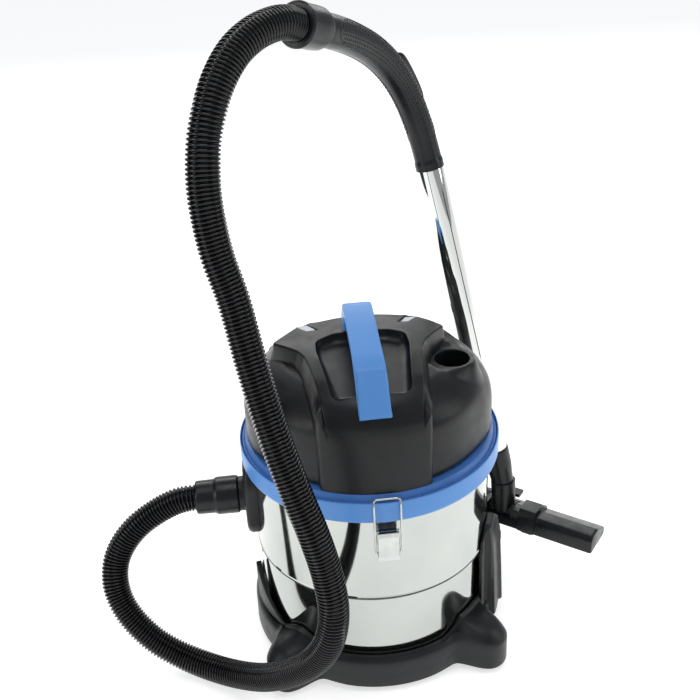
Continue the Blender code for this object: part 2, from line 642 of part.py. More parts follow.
def slider_block(line):
    """The air slider: a strip bent along the outside of the grip."""
    along, out, centre, radius = bend_frame(line, SLIDER_AT)
    across = along.cross(out)
    bm = bmesh.new()
    rings = []
    steps = 8
    for k in range(steps + 1):
        turn = (2 * k / steps - 1) * SLIDER_HALF / radius
        way = out * math.cos(turn) + along * math.sin(turn)
        base = centre + way * (radius + WAND_R)
        high = 0.0058 if 0 < k < steps else 0.0035
        ring = [(-SLIDER_WIDE, 0.0012), (SLIDER_WIDE, 0.0012), (SLIDER_WIDE - 0.001, high), (-SLIDER_WIDE + 0.001, high)]
        rings.append([bm.verts.new(base + across * side + way * lift) for side, lift in ring])
    for low, high in zip(rings, rings[1:]):
        for k in range(4):
            bm.faces.new((low[k], low[(k + 1) % 4], high[(k + 1) % 4], high[k]))
    bm.faces.new(rings[0])
    bm.faces.new(rings[-1])
    return bm


# ---------------------------------------------------------------- nozzle

def nozzle_matrix():
    n = Vector((0, 0, 1)).cross(NOZZLE_U)
    axes = Matrix((NOZZLE_U, n, Vector((0, 0, 1)))).transposed().to_4x4()
    return Matrix.Translation(NOZZLE_AT) @ axes


def build_nozzle():
    place = nozzle_matrix()
    # The neck: a short barrel lying in the head, and a pipe that rises from it to the wand.
    barrel = aim(turned(rod_profile(0.0140, -0.0190, 0.0190), 24), NOZZLE_AT, NOZZLE_U)
    neck = add_mesh("nozzle_neck", barrel, "black_plastic", NOZZLE_AT)
    cuff_low = WAND_LOW - WAND_WAY * 0.062
    rise = cuff_low - NOZZLE_AT
    stalk = turned(rod_profile(0.0138, 0.0, rise.length + 0.004), 16)
    join(neck, "stalk", aim(stalk, NOZZLE_AT, rise))
    cuff = [(0, GAP), (0.0185, GAP), (0.0185, 0.030), (0.0150, 0.062), (0, 0.066)]
    join(neck, "cuff", aim(turned(cuff, 16), WAND_LOW, -WAND_WAY))
    duct = aim(turned(rod_profile(0.0130, -0.01, 0.050), 12), WAND_LOW, -WAND_WAY)
    cut(neck, "neck_duct", duct)

    low, high = NOZZLE_LOW, NOZZLE_HIGH
    side = [
        (NOZZLE_BACK, low + 0.004), (NOZZLE_BACK + 0.003, low), (NOZZLE_FRONT - 0.003, low),
        (NOZZLE_FRONT, low + 0.004), (NOZZLE_FRONT, high - 0.012), (NOZZLE_FRONT - 0.010, high - 0.002),
        (NOZZLE_BACK + 0.018, high - 0.002), (NOZZLE_BACK, high - 0.010),
    ]
    across = place @ Matrix(((0, 0, 1, 0), (1, 0, 0, 0), (0, 1, 0, 0), (0, 0, 0, 1)))
    head = add_mesh("nozzle_head", prism(side, -NOZZLE_HALF, NOZZLE_HALF, across), "black_plastic", NOZZLE_AT)
    hump = [
        (NOZZLE_BACK + 0.001, low + 0.003), (NOZZLE_FRONT - 0.006, low + 0.003), (NOZZLE_FRONT - 0.006, high),
        (0.0180, high + 0.0045), (-0.0180, high + 0.0045), (NOZZLE_BACK + 0.001, high - 0.004),
    ]
    for name, where in (("left", -ROLLER_U), ("right", ROLLER_U)):
        join(head, f"hump_{name}", prism(hump, where - 0.012, where + 0.012, across))
        well = aim(turned(rod_profile(ROLLER_R + 0.0010, where - 0.0095, where + 0.0095), 20), (0, 0, 0), (1, 0, 0))
        bmesh.ops.translate(well, verts=well.verts, vec=(0, -0.0130, low + 0.0040))
        well.transform(place)
        cut(head, f"roller_well_{name}", well)
    socket = aim(turned(rod_profile(0.0146, -0.0196, 0.0196), 24), NOZZLE_AT, NOZZLE_U)
    cut(head, "neck_socket", socket)
    mouth = block((-0.0196, -0.0260, -0.0010), (0.0196, 0.0150, 0.0300), 0.0, place)
    cut(head, "neck_mouth", mouth)
    channel = block((-0.126, 0.0190, -0.0200), (0.126, 0.0270, -0.0060), 0.0, place)
    cut(head, "brush_channel", channel)

    for name, where in (("left", -ROLLER_U), ("right", ROLLER_U)):
        at = place @ Vector((where, -0.0130, low + 0.0040))
        wheel = ring_profile(0.0021, ROLLER_R, -0.0085, 0.0085)
        roller = aim(turned(wheel, 20, closed=True), at, NOZZLE_U)
        add_mesh(f"nozzle_roller_{name}", roller, "rubber", at)
        pin = aim(turned(rod_profile(0.0018, -0.0092, 0.0092), 12), at, NOZZLE_U)
        add_mesh(f"roller_pin_{name}", pin, "steel", at)

    sole = block((-0.138, -0.0015, low - 0.0018), (0.138, 0.0160, low - GAP), 0.0, place)
    sole_obj = add_mesh("sole_plate", sole, "steel", smooth=False)
    cut(sole_obj, "suction_slot", block((-0.110, 0.003, low - 0.01), (0.110, 0.010, low + 0.01), 0.0, place))
    strip = block((-0.124, 0.0198, low), (0.124, 0.0262, -0.0072), 0.0, place)
    add_mesh("brush_strip", strip, "bristle", place @ Vector((0, 0.023, low)))
    pedal_at = place @ Vector((0, 0.0200, high + 0.0010))
    pedal = block((-0.0170, 0.0162, high - 0.0014), (0.0170, 0.0320, high + 0.0036), 0.0012, place)
    add_mesh("nozzle_pedal", pedal, "black_plastic", pedal_at)


clear_scene()
machine_axis = bpy.data.objects.new("machine_axis", None)
bpy.context.scene.collection.objects.link(machine_axis)
machine_axis.location = (AXIS_X, AXIS_Y, 0.0)
build_base()
build_casters()
build_tank()
build_latches()
build_head()
build_motor()
build_hose()
build_nozzle()
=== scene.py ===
"""Looks for a wheeled shop vacuum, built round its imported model.

Blender 4.5, metres, +Z up. Pieces are drawn in the machine's own frame, whose axis is the tank's:
-Y is the front, with the first latch, -X the hose inlet, +X the parked wand. AXIS moves them to the
model's frame. Angles named "turn" are measured round the tank from the front, towards +X.
"""
import math

import bmesh
import bpy
import numpy as np
from mathutils import Euler, Matrix, Vector
from mathutils.geometry import interpolate_bezier


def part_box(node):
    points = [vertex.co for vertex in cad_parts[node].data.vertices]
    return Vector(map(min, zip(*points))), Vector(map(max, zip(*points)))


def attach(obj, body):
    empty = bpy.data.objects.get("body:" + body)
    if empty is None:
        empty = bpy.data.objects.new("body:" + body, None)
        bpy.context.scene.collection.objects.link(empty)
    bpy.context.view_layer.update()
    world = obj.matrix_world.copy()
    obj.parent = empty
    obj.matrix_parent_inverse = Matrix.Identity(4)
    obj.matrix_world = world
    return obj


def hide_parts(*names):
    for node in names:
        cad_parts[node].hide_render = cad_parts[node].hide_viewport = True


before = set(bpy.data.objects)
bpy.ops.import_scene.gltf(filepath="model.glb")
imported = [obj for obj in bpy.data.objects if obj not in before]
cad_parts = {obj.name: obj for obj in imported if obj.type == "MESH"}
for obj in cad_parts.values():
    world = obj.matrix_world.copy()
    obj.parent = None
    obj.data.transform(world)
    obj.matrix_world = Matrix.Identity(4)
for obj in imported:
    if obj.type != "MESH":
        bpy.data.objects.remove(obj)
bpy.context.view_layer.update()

low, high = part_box("tank")
AXIS = Vector(((low.x + high.x) / 2, (low.y + high.y) / 2, 0))

# Tank, rim and head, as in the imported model
TANK_R = 0.156
RIM_LOW = 0.2762
RIM_TOP = 0.2932
LIP_TOP = 0.3042
RING_LOW = 0.2942
RING_TOP = 0.311
HEAD_LOW = 0.3114
HEAD_X = -0.008
PORT_TOP = 0.4135
INLET_Z = 0.216
PORT_X, PORT_Y, PORT_R = 0.102, -0.035, 0.0215
ROCKER_PIVOT = Vector((-0.05, 0.147, 0.36))

# Base and casters
BASE_R = 0.168
CASTER_R = 0.184
CASTER_ANGLES = {"front_left": 225, "front_right": 315, "rear_left": 135, "rear_right": 45}
WHEEL_R = 0.0145
CASTER_TRAIL = 0.0095

# Latches
LATCH_PIVOT = Vector((0.0, -0.1655, 0.26))
BAIL_PIVOT = Vector((0.0, -0.1705, 0.234))

# Hose, grip and wand
HOSE_R = 0.0178
HOSE_ROOT_R = 0.015
HOSE_PITCH = 0.0045
WAND_R = 0.0175
WAND_LOW = Vector((0.193, 0.09, 0.187))
WAND_TOP = Vector((0.108, 0.1415, 0.5975))
WAND_WAY = (WAND_TOP - WAND_LOW).normalized()
GRIP_END = Vector((-0.0344, 0.021, 0.8034))
GRIP_WAY = Vector((-0.594, -0.754, 0.28)).normalized()
GRIP_RISE = 0.113
GRIP_REACH = 0.139
COLLAR_R = 0.0235
SLOT_FACES = Vector((-0.1185, -1.0906, 1.016))

# Nozzle
NOZZLE_AT = Vector((0.207, 0.078, 0.085))
NOZZLE_U = Vector((0.782, -0.623, 0.0)).normalized()
NOZZLE_BACK = -0.023
NOZZLE_FRONT = 0.033
NOZZLE_LOW = -0.0165
NOZZLE_HIGH = 0.014
ROLLER_U = 0.044
ROLLER_R = 0.009


def mm(rows):
    """Points given in millimetres, in metres."""
    return [tuple(round(v / 1000, 7) for v in row) for row in rows]


# The middle of the hose, from the inlet to the swivel collar
HOSE_ROUTE = mm([
    (-233.8, 0, 216), (-247, 0, 215.7), (-264, 0, 211.8), (-288, -2, 201), (-313, -7, 186),
    (-333, -14, 167), (-346, -22, 146), (-351, -32, 124), (-349, -42, 102), (-339, -54, 80),
    (-322, -66, 59), (-299, -78, 40), (-266, -92, 24), (-230, -112, 19.5), (-194, -138, 28),
    (-159, -171, 53), (-125, -205, 93), (-97, -232, 137), (-80, -248, 183), (-74, -250, 229),
    (-79, -243, 276), (-90, -236, 325), (-105, -223, 373), (-121, -206, 429), (-138, -182, 503),
    (-151, -162, 574), (-164, -151, 626), (-169.5, -143, 681), (-166, -134.5, 727), (-157, -122, 760),
    (-145, -106, 786), (-128, -86, 807), (-108, -65, 819), (-89, -45, 823), (-74.5, -29.5, 822),
    (-62.3, -14.5, 816.6),
])


# ---------------------------------------------------------------- camera, floor and light

EYE = Vector((-0.118475, -1.090584, 1.016))
EYE_TURN = (61.327, 2.313, -6.433)
LENS = 51.43
WORLD_LIGHT = 0.38
FLOOR_GLOW = 0.6
DARK_CARDS = [
    ("card_left", (-1.1, 0.25, 0.75), (0.9, 1.5)),
    ("card_right", (1.5, -0.9, 0.25), (0.25, 0.7)),
]
LAMPS = [
    ("lamp_top", (0.0, -0.3, 2.2), (0, 0, 0.3), (1.0, 1.0), 9),
    ("lamp_rear", (0.1, 2.6, 2.1), (0, 0, 0.4), (3.6, 1.5), 48),
    ("lamp_left", (-2.4, -0.9, 1.5), (0, 0, 0.4), (0.5, 1.9), 15),
    ("lamp_right", (2.3, -0.6, 1.5), (0, 0, 0.4), (0.5, 1.9), 12),
]


def build_camera():
    data = bpy.data.cameras.new("camera")
    data.sensor_width = 36
    data.lens = LENS
    camera = bpy.data.objects.new("camera", data)
    camera.location = AXIS + EYE
    camera.rotation_euler = Euler([math.radians(a) for a in EYE_TURN])
    bpy.context.scene.collection.objects.link(camera)
    bpy.context.scene.camera = camera


def stage_card(name, size, place, look, shown=True):
    """A flat card of the stage, facing its own +Z; one that isn't shown only reflects."""
    mesh = bpy.data.meshes.new(name)
    x, y = size[0] / 2, size[1] / 2
    mesh.from_pydata([(-x, -y, 0), (x, -y, 0), (x, y, 0), (-x, y, 0)], [], [(0, 1, 2, 3)])
    mesh.materials.append(look)
    card = bpy.data.objects.new(name, mesh)
    card.matrix_world = place
    card.visible_camera = shown
    card.visible_shadow = shown
    card.visible_diffuse = shown
    bpy.context.scene.collection.objects.link(card)
    return card


def facing(place, target):
    """A matrix at place whose own +Z points at target."""
    place, target = Vector(place), Vector(target)
    turn = (target - place).to_track_quat("Z", "Y")
    return Matrix.Translation(place) @ turn.to_matrix().to_4x4()


def area_light(name, place, target, size, power):
    data = bpy.data.lights.new(name, "AREA")
    data.shape = "RECTANGLE"
    data.size, data.size_y = size
    data.energy = power
    lamp = bpy.data.objects.new(name, data)
    lamp.matrix_world = facing(place, target) @ Matrix.Rotation(math.pi, 4, "X")
    lamp.visible_camera = False
    bpy.context.scene.collection.objects.link(lamp)
    return lamp


def build_stage():
    world = bpy.data.worlds.new("studio")
    bpy.context.scene.world = world
    world.use_nodes = True
    back = world.node_tree.nodes["Background"]
    back.inputs["Color"].default_value = (0.95, 0.97, 1.0, 1)
    back.inputs["Strength"].default_value = WORLD_LIGHT
    bpy.context.scene.view_settings.view_transform = "Standard"

    floor_look = bpy.data.materials.new("pale_floor")
    floor_look.use_nodes = True
    shader = floor_look.node_tree.nodes["Principled BSDF"]
    shader.inputs["Base Color"].default_value = (0.9, 0.9, 0.9, 1)
    shader.inputs["Roughness"].default_value = 1.0
    shader.inputs["Specular IOR Level"].default_value = 0.0
    shader.inputs["Emission Color"].default_value = (1, 1, 1, 1)
    shader.inputs["Emission Strength"].default_value = FLOOR_GLOW
    stage_card("floor", (30, 30), Matrix.Translation(AXIS), floor_look)

    dark_look = bpy.data.materials.new("dark_card")
    dark_look.use_nodes = True
    shader = dark_look.node_tree.nodes["Principled BSDF"]
    shader.inputs["Base Color"].default_value = (0.02, 0.02, 0.022, 1)
    shader.inputs["Roughness"].default_value = 0.9
    for name, place, size in DARK_CARDS:
        stage_card(name, size, facing(AXIS + Vector(place), AXIS + Vector((0, 0, place[2]))), dark_look,
                   False)

    for name, place, target, size, power in LAMPS:
        area_light(name, AXIS + Vector(place), AXIS + Vector(target), size, power)


# ---------------------------------------------------------------- materials

LOOKS = {}


def look(name, colour, roughness, metallic=0.0, specular=0.5, grain=(1800, 0.08), mottle=(30, 0.1),
         gloss=(60, 0.06), coat=0.0, streak=None):
    """A moulded or sheet material. grain, mottle and gloss are (scale, amount) of the surface's fine bump,
    its colour variation and its roughness variation; streak is the direction that brushing runs along."""
    if name in LOOKS:
        return LOOKS[name]
    made = bpy.data.materials.new(name)
    made.use_nodes = True
    nodes, links = made.node_tree.nodes, made.node_tree.links
    shader = nodes["Principled BSDF"]
    shader.inputs["Metallic"].default_value = metallic
    shader.inputs["Specular IOR Level"].default_value = specular
    shader.inputs["Coat Weight"].default_value = coat
    shader.inputs["Coat Roughness"].default_value = 0.12
    where = nodes.new("ShaderNodeTexCoord")
    spot = where.outputs["Object"]
    if streak:
        stretch = nodes.new("ShaderNodeMapping")
        stretch.inputs["Scale"].default_value = streak
        links.new(spot, stretch.inputs["Vector"])
        fine_spot = stretch.outputs["Vector"]
    else:
        fine_spot = spot

    def noise(vector, scale, detail=3.0):
        node = nodes.new("ShaderNodeTexNoise")
        node.inputs["Scale"].default_value = scale
        node.inputs["Detail"].default_value = detail
        links.new(vector, node.inputs["Vector"])
        return node.outputs["Fac"]

    def spread(value, start, end):
        node = nodes.new("ShaderNodeMapRange")
        node.inputs["From Min"].default_value = 0.3
        node.inputs["From Max"].default_value = 0.7
        node.inputs["To Min"].default_value = start
        node.inputs["To Max"].default_value = end
        links.new(value, node.inputs["Value"])
        return node.outputs["Result"]

    ramp = nodes.new("ShaderNodeMix")
    ramp.data_type = "RGBA"
    dark = [c * (1 - mottle[1]) for c in colour]
    pale = [min(1, c * (1 + mottle[1])) for c in colour]
    ramp.inputs["A"].default_value = (*dark, 1)
    ramp.inputs["B"].default_value = (*pale, 1)
    links.new(spread(noise(spot, mottle[0]), 0, 1), ramp.inputs["Factor"])
    links.new(ramp.outputs["Result"], shader.inputs["Base Color"])
    rough = spread(noise(fine_spot, gloss[0]), max(0.02, roughness - gloss[1]), roughness + gloss[1])
    links.new(rough, shader.inputs["Roughness"])
    bump = nodes.new("ShaderNodeBump")
    bump.inputs["Strength"].default_value = grain[1]
    bump.inputs["Distance"].default_value = 0.0004
    links.new(noise(fine_spot, grain[0], 2.0), bump.inputs["Height"])
    links.new(bump.outputs["Normal"], shader.inputs["Normal"])
    LOOKS[name] = made
    return made


def dome_black():
    return look("dome_black", (0.0075, 0.008, 0.009), 0.34, specular=0.3, grain=(2600, 0.2),
                mottle=(40, 0.12))


def satin_black():
    return look("satin_black", (0.008, 0.0088, 0.01), 0.3, specular=0.34, grain=(2200, 0.12),
                mottle=(35, 0.12))


def base_black():
    return look("base_black", (0.011, 0.012, 0.013), 0.4, specular=0.34, grain=(2400, 0.18),
                mottle=(30, 0.12))


def hose_black():
    return look("hose_black", (0.004, 0.0044, 0.0052), 0.11, specular=0.4, grain=(900, 0.05),
                mottle=(60, 0.15),
                gloss=(150, 0.05))


# Pale grey used as a painted highlight: the light that the rear notches reflect.
def highlight_grey():
    return look("highlight_grey", (0.52, 0.56, 0.62), 0.3, grain=(2200, 0.1), mottle=(60, 0.05))


# A darker copy of the blue as painted shade: the lid ring's slope lies in shade and mirrors the black dome.
def shaded_blue():
    return look("shaded_blue", (0.055, 0.175, 0.5), 0.32, specular=0.4, grain=(1900, 0.07), mottle=(25, 0.05))


def satin_grey():
    return look("satin_grey", (0.085, 0.092, 0.1), 0.42, grain=(2200, 0.14))


def blue():
    return look("blue", (0.105, 0.305, 0.72), 0.34, specular=0.35, grain=(1900, 0.03), mottle=(12, 0.03),
                gloss=(40, 0.03))


def tank_steel():
    return look("tank_steel", (0.535, 0.56, 0.53), 0.075, metallic=1.0, grain=(7, 0.3), mottle=(14, 0.03),
                gloss=(9, 0.02), streak=(1, 1, 0.35))


def chrome():
    return look("chrome", (0.74, 0.76, 0.73), 0.05, metallic=1.0, grain=(40, 0.04), mottle=(20, 0.02),
                gloss=(90, 0.02))


def plated():
    return look("plated", (0.6, 0.62, 0.6), 0.15, metallic=1.0, grain=(500, 0.06), mottle=(90, 0.07),
                gloss=(160, 0.06))


def bare_steel():
    return look("bare_steel", (0.5, 0.51, 0.52), 0.32, metallic=1.0, grain=(700, 0.1), mottle=(60, 0.1),
                gloss=(120, 0.08))


# Dark steel used as painted light: the painted reflection band at the tank's step and the painted shade on
# the latch plates.
def shade_and_reflection_steel():
    return look("shade_and_reflection_steel", (0.085, 0.088, 0.092), 0.22, metallic=1.0, grain=(700, 0.1), mottle=(200, 0.3),
                gloss=(120, 0.08))


def rubber():
    return look("rubber", (0.02, 0.02, 0.021), 0.72, specular=0.3, grain=(1500, 0.3), mottle=(80, 0.18))


def paper():
    return look("paper", (0.78, 0.74, 0.62), 0.92, specular=0.2, grain=(1300, 0.35), mottle=(50, 0.08))


def white_plastic():
    return look("white_plastic", (0.84, 0.84, 0.81), 0.45, grain=(1500, 0.08), mottle=(30, 0.04))


def bristle():
    return look("bristle", (0.03, 0.03, 0.033), 0.8, specular=0.3, grain=(1200, 0.5), mottle=(300, 0.3),
                streak=(1, 1, 0.08))


# ---------------------------------------------------------------- shapes

def rounded(points, steps=5):
    """A line through flat points; one given with a third number has its corner rounded to that radius."""
    line = []
    for k, point in enumerate(points):
        here = np.array(point[:2], float)
        radius = point[2] if len(point) > 2 else 0
        if not radius or k in (0, len(points) - 1):
            line.append(here)
            continue
        before = np.array(points[k - 1][:2], float) - here
        after = np.array(points[k + 1][:2], float) - here
        long_in, long_out = np.linalg.norm(before), np.linalg.norm(after)
        before, after = before / long_in, after / long_out
        half = math.acos(max(-1, min(1, float(before @ after)))) / 2
        back = min(radius / math.tan(half), 0.49 * long_in, 0.49 * long_out)
        start, end = here + before * back, here + after * back
        for t in np.linspace(0, 1, steps + 1):
            line.append((1 - t) ** 2 * start + 2 * t * (1 - t) * here + t * t * end)
    return line


def round_loop(points, steps=5):
    """The same for a closed line."""
    whole = [points[-1]] + list(points) + [points[0]]
    flat = []
    for k in range(1, len(points) + 1):
        flat += rounded(whole[k - 1:k + 2], steps)[1:-1]
    return flat


def loft(rows, ends="caps"):
    """A mesh through rows of points. ends: caps closes the first and last row, loop joins them."""
    rows = np.asarray(rows, float)
    many, count = rows.shape[:2]
    faces = []
    for i in range(many if ends == "loop" else many - 1):
        a, b = i * count, ((i + 1) % many) * count
        for j in range(count):
            k = (j + 1) % count
            faces.append((a + j, a + k, b + k, b + j))
    if ends == "caps":
        faces.append(tuple(range(count - 1, -1, -1)))
        faces.append(tuple((many - 1) * count + j for j in range(count)))
    mesh = bpy.data.meshes.new("shape")
    mesh.from_pydata(rows.reshape(-1, 3).tolist(), [], faces)
    return clean(mesh)


def clean(mesh):
    bm = bmesh.new()
    bm.from_mesh(mesh)
    bmesh.ops.remove_doubles(bm, verts=bm.verts, dist=2e-6)
    bmesh.ops.dissolve_degenerate(bm, edges=bm.edges, dist=1e-7)
    bmesh.ops.recalc_face_normals(bm, faces=bm.faces)
    bm.to_mesh(mesh)
    bm.free()
    return mesh


def lathe(profile, turns=96, closed=True):
    """Turns a flat line of (radius, height) about Z. A closed profile joins its ends."""
    around = np.linspace(0, 2 * math.pi, turns, endpoint=False)
    rows = [np.stack([r * np.cos(around), r * np.sin(around), np.full(turns, z)], 1) for r, z in profile]
    return loft(rows, "loop" if closed else "open")


def aimed(mesh, start, way):
    """Moves a mesh made along +Z so that it starts at start and runs along way."""
    turn = Vector((0, 0, 1)).rotation_difference(Vector(way)).to_matrix().to_4x4()
    mesh.transform(Matrix.Translation(Vector(start)) @ turn)
    return mesh


def prism(outline, low, high, place=None):
    """A flat outline extruded along Z; place moves the result."""
    rows = [[(x, y, z) for x, y in outline] for z in (low, high)]
    mesh = loft(rows)
    if place:
        mesh.transform(place)
    return mesh


SIDEWAYS = Matrix(((0, 0, 1, 0), (1, 0, 0, 0), (0, 1, 0, 0), (0, 0, 0, 1)))


def side_prism(outline, half, x=0.0):
    """An outline in y and z, extruded along X about x."""
    return prism(outline, x - half, x + half, SIDEWAYS)


def block(low, high, place=None):
    (x0, y0, z0), (x1, y1, z1) = low, high
    return prism([(x0, y0), (x1, y0), (x1, y1), (x0, y1)], z0, z1, place)


def merged(*meshes):
    """One mesh out of several that keep their own shells."""
    bm = bmesh.new()
    for mesh in meshes:
        bm.from_mesh(mesh)
    made = bpy.data.meshes.new("shape")
    bm.to_mesh(made)
    bm.free()
    return made


def smooth_line(points, step):
    """Points about step apart on a smooth curve through the given points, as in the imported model."""
    points = [Vector(p) for p in points]
    line = []
    for k in range(len(points) - 1):
        before = points[max(k - 1, 0)]
        after = points[min(k + 2, len(points) - 1)]
        start, end = points[k], points[k + 1]
        count = max(2, round((end - start).length / step) + 1)
        line += interpolate_bezier(start, start + (end - before) / 6, end - (after - start) / 6, end,
                                   count)[:-1]
    return line + [points[-1]]


def spaced(line, step):
    """The same line with its points evenly spaced."""
    line = np.array([tuple(p) for p in line])
    far = np.concatenate([[0], np.cumsum(np.linalg.norm(np.diff(line, axis=0), axis=1))])
    count = max(2, round(far[-1] / step) + 1)
    at = np.linspace(0, far[-1], count)
    return np.stack([np.interp(at, far, line[:, k]) for k in range(3)], 1), at


def carried(line, first=None):
    """At each point of a line: its way, and two cross directions carried along without twist."""
    way = np.gradient(line, axis=0)
    way /= np.linalg.norm(way, axis=1)[:, None]
    side = Vector(first) if first is not None else Vector(way[0]).orthogonal()
    sides = []
    for k, here in enumerate(way):
        if k:
            side = Vector(way[k - 1]).rotation_difference(Vector(here)) @ side
        side = (side - side.dot(Vector(here)) * Vector(here)).normalized()
        sides.append(tuple(side))
    sides = np.array(sides)
    return way, sides, np.cross(way, sides)


def tube(line, radii, count=32, ends="caps", first=None):
    """A round tube along a line, with a radius for each point, or for each point and side."""
    line = np.asarray(line, float)
    _, side, cross = carried(line, first)
    around = np.linspace(0, 2 * math.pi, count, endpoint=False)
    radii = np.asarray(radii, float)
    if radii.ndim == 0:
        radii = np.full(len(line), float(radii))
    if radii.ndim == 1:
        radii = radii[:, None] * np.ones(count)
    out = np.cos(around)[None, :, None] * side[:, None] + np.sin(around)[None, :, None] * cross[:, None]
    return loft(line[:, None] + radii[:, :, None] * out, ends)


def polar(radius, degrees, height=0.0):
    turn = math.radians(degrees)
    return Vector((radius * math.cos(turn), radius * math.sin(turn), height))


# ---------------------------------------------------------------- pieces

def add(name, mesh, finish, body, stands_for=(), sharp=38, bevel=0.0, segments=3, angle=35):
    """A finished piece, with its material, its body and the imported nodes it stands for."""
    mesh.name = name
    mesh.materials.clear()
    mesh.materials.append(finish)
    mesh.shade_smooth()
    obj = bpy.data.objects.new(name, mesh)
    obj.location = AXIS
    bpy.context.scene.collection.objects.link(obj)
    if bevel:
        soften(obj, bevel, segments, angle)
    else:
        mesh.set_sharp_from_angle(angle=math.radians(sharp))
    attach(obj, body)
    if stands_for:
        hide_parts(*([stands_for] if isinstance(stands_for, str) else stands_for))
    return obj


def soften(obj, width, segments=3, angle=35):
    edge = obj.modifiers.new("edges", "BEVEL")
    edge.width = width
    edge.segments = segments
    edge.limit_method = "ANGLE"
    edge.angle_limit = math.radians(angle)
    edge.harden_normals = True
    return edge


def carve(mesh, other, operation="DIFFERENCE"):
    """The exact Boolean of two meshes."""
    main = bpy.data.objects.new("main", mesh)
    tool = bpy.data.objects.new("tool", other)
    for obj in (main, tool):
        bpy.context.scene.collection.objects.link(obj)
    step = main.modifiers.new("carve", "BOOLEAN")
    step.operation = operation
    step.object = tool
    step.solver = "EXACT"
    bpy.context.view_layer.update()
    graph = bpy.context.evaluated_depsgraph_get()
    made = bpy.data.meshes.new_from_object(main.evaluated_get(graph))
    bpy.data.objects.remove(main)
    bpy.data.objects.remove(tool)
    return made


def refinish(node, finish, bevel=0.0, segments=2):
    """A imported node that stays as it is, with a better material and softened edges."""
    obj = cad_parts[node]
    obj.data.materials.clear()
    obj.data.materials.append(finish)
    if bevel:
        soften(obj, bevel, segments)
    return obj


# ---------------------------------------------------------------- hose, grip and wand

def build_hose():
    line, at = spaced(smooth_line(HOSE_ROUTE, 0.0015), HOSE_PITCH / 8)
    count = 36
    around = np.arange(count) / count
    phase = (at[:, None] / HOSE_PITCH - around[None, :]) * 2 * math.pi
    groove = (0.5 - 0.5 * np.cos(phase)) ** 1.7
    radii = HOSE_R - (HOSE_R - HOSE_ROOT_R) * groove
    mesh = tube(line, radii, count)
    hose = add("ribbed_hose", mesh, hose_black(), "root", "suction_hose", sharp=80)


def build_hose_ends():
    cuff = rounded(mm([
        (14, 20), (14, 57), (21.2, 57, 1.2), (22.2, 55, 1), (22.6, 33, 2), (25, 29, 2), (25.2, 2, 1.5),
        (23.2, 0, 1.2), (20, 0, 0.5), (20, -5), (18.5, -5), (18.5, 20), (14, 20),
    ]))
    start = Vector((-0.1765, 0.0, INLET_Z))
    add("inlet_cuff", aimed(lathe(cuff[:-1]), start, (-1, 0, 0)), satin_black(), "root",
        "hose_cuff")

    collar = rounded(mm([
        (14, 0.3), (20, 0.3), (20.6, 1, 0.5), (20.8, 3, 1.5), (23.2, 7.5, 3.5), (23.6, 16, 4),
        (23.6, 40, 1), (24.6, 41.2, 1), (24.7, 45.5, 1.6), (22.8, 47.8, 1.5), (19, 47.8), (18.6, 44),
        (14, 44),
    ]))
    mesh = aimed(lathe(collar), GRIP_END, GRIP_WAY)
    slot_at = GRIP_END + GRIP_WAY * 0.03
    toward = SLOT_FACES - slot_at
    toward = (toward - toward.dot(GRIP_WAY) * GRIP_WAY).normalized()
    across = GRIP_WAY.cross(toward)
    place = Matrix.Translation(slot_at + toward * COLLAR_R) @ Matrix((GRIP_WAY, across,
            toward)).transposed().to_4x4()
    mesh = carve(mesh, block((-0.0011, -0.0045, -0.0022), (0.0011, 0.0045, 0.004), place))
    add("collar", mesh, satin_black(), "collar", "swivel_collar")


def grip_line(count):
    """The grip's middle line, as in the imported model."""
    high_end = GRIP_END - GRIP_WAY * 0.003
    low_end = WAND_TOP + WAND_WAY * 0.003
    high_lead = GRIP_END - GRIP_WAY * GRIP_REACH
    low_lead = WAND_TOP + WAND_WAY * GRIP_RISE
    bend = interpolate_bezier(high_end, high_lead, low_lead, low_end, count)
    return [GRIP_END] + bend + [WAND_TOP + WAND_WAY * 0.0003]


def build_grip():
    line, at = spaced(grip_line(160), 0.0025)
    total = at[-1]
    normal = Vector(np.cross(line[10] - line[len(line) // 2], line[-10] - line[len(line) // 2])).normalized()
    way, side, cross = carried(line, normal)
    # side is square to the bend's plane; out is the outside of the bend.
    out = cross if np.dot(cross[len(line) // 2], line[len(line) // 2] - (line[0]
            + line[-1]) / 2) > 0 else -cross
    radii = np.interp(at, [0, 0.004, 0.02, total - 0.03, total - 0.011, total - 0.01, total],
                      [0.0186, 0.019, 0.019, 0.0176, 0.0176, 0.0186, 0.0186])
    shell = tube(line, radii, 48, "open", normal)
    bore = tube(line, 0.0146, 48, "open", normal)
    bm = bmesh.new()
    bm.from_mesh(shell)
    bm.from_mesh(bore)
    rims = [e for e in bm.edges if e.is_boundary]
    near = [e for e in rims if (e.verts[0].co - GRIP_END).length < 0.03]
    away = [e for e in rims if (e.verts[0].co - WAND_TOP).length < 0.03]
    for edges in (near, away):
        bmesh.ops.bridge_loops(bm, edges=edges)
    bmesh.ops.recalc_face_normals(bm, faces=bm.faces)
    mesh = bpy.data.meshes.new("grip")
    bm.to_mesh(mesh)
    bm.free()

    # The dotted panels lie on the two sides of the bend, a little to its inside.
    dots = []
    for hand in (1, -1):
        for row in range(7):
            angle = math.radians(-46 + 13 * row)
            step = 0.0046
            start = 0.018 + (row % 2) * step / 2 + abs(row - 3) * 0.0016
            count = int((total - 0.05 - start) / step)
            for k in range(count):
                far = start + k * step
                i = int(np.searchsorted(at, far))
                if i >= len(line) - 1:
                    continue
                lift = hand * math.cos(angle) * side[i] + math.sin(angle) * out[i]
                dots.append((line[i] + lift * (radii[i] - 0.0002), lift, way[i]))
    add("grip_shell", mesh, satin_black(), "root", "grip", sharp=50)
    panels = merged(studs(dots, 0.00125, 0.0009), panel_lines(line, side, out, radii, at, total))
    add("grip_panels", panels, dome_black(), "root", sharp=50)


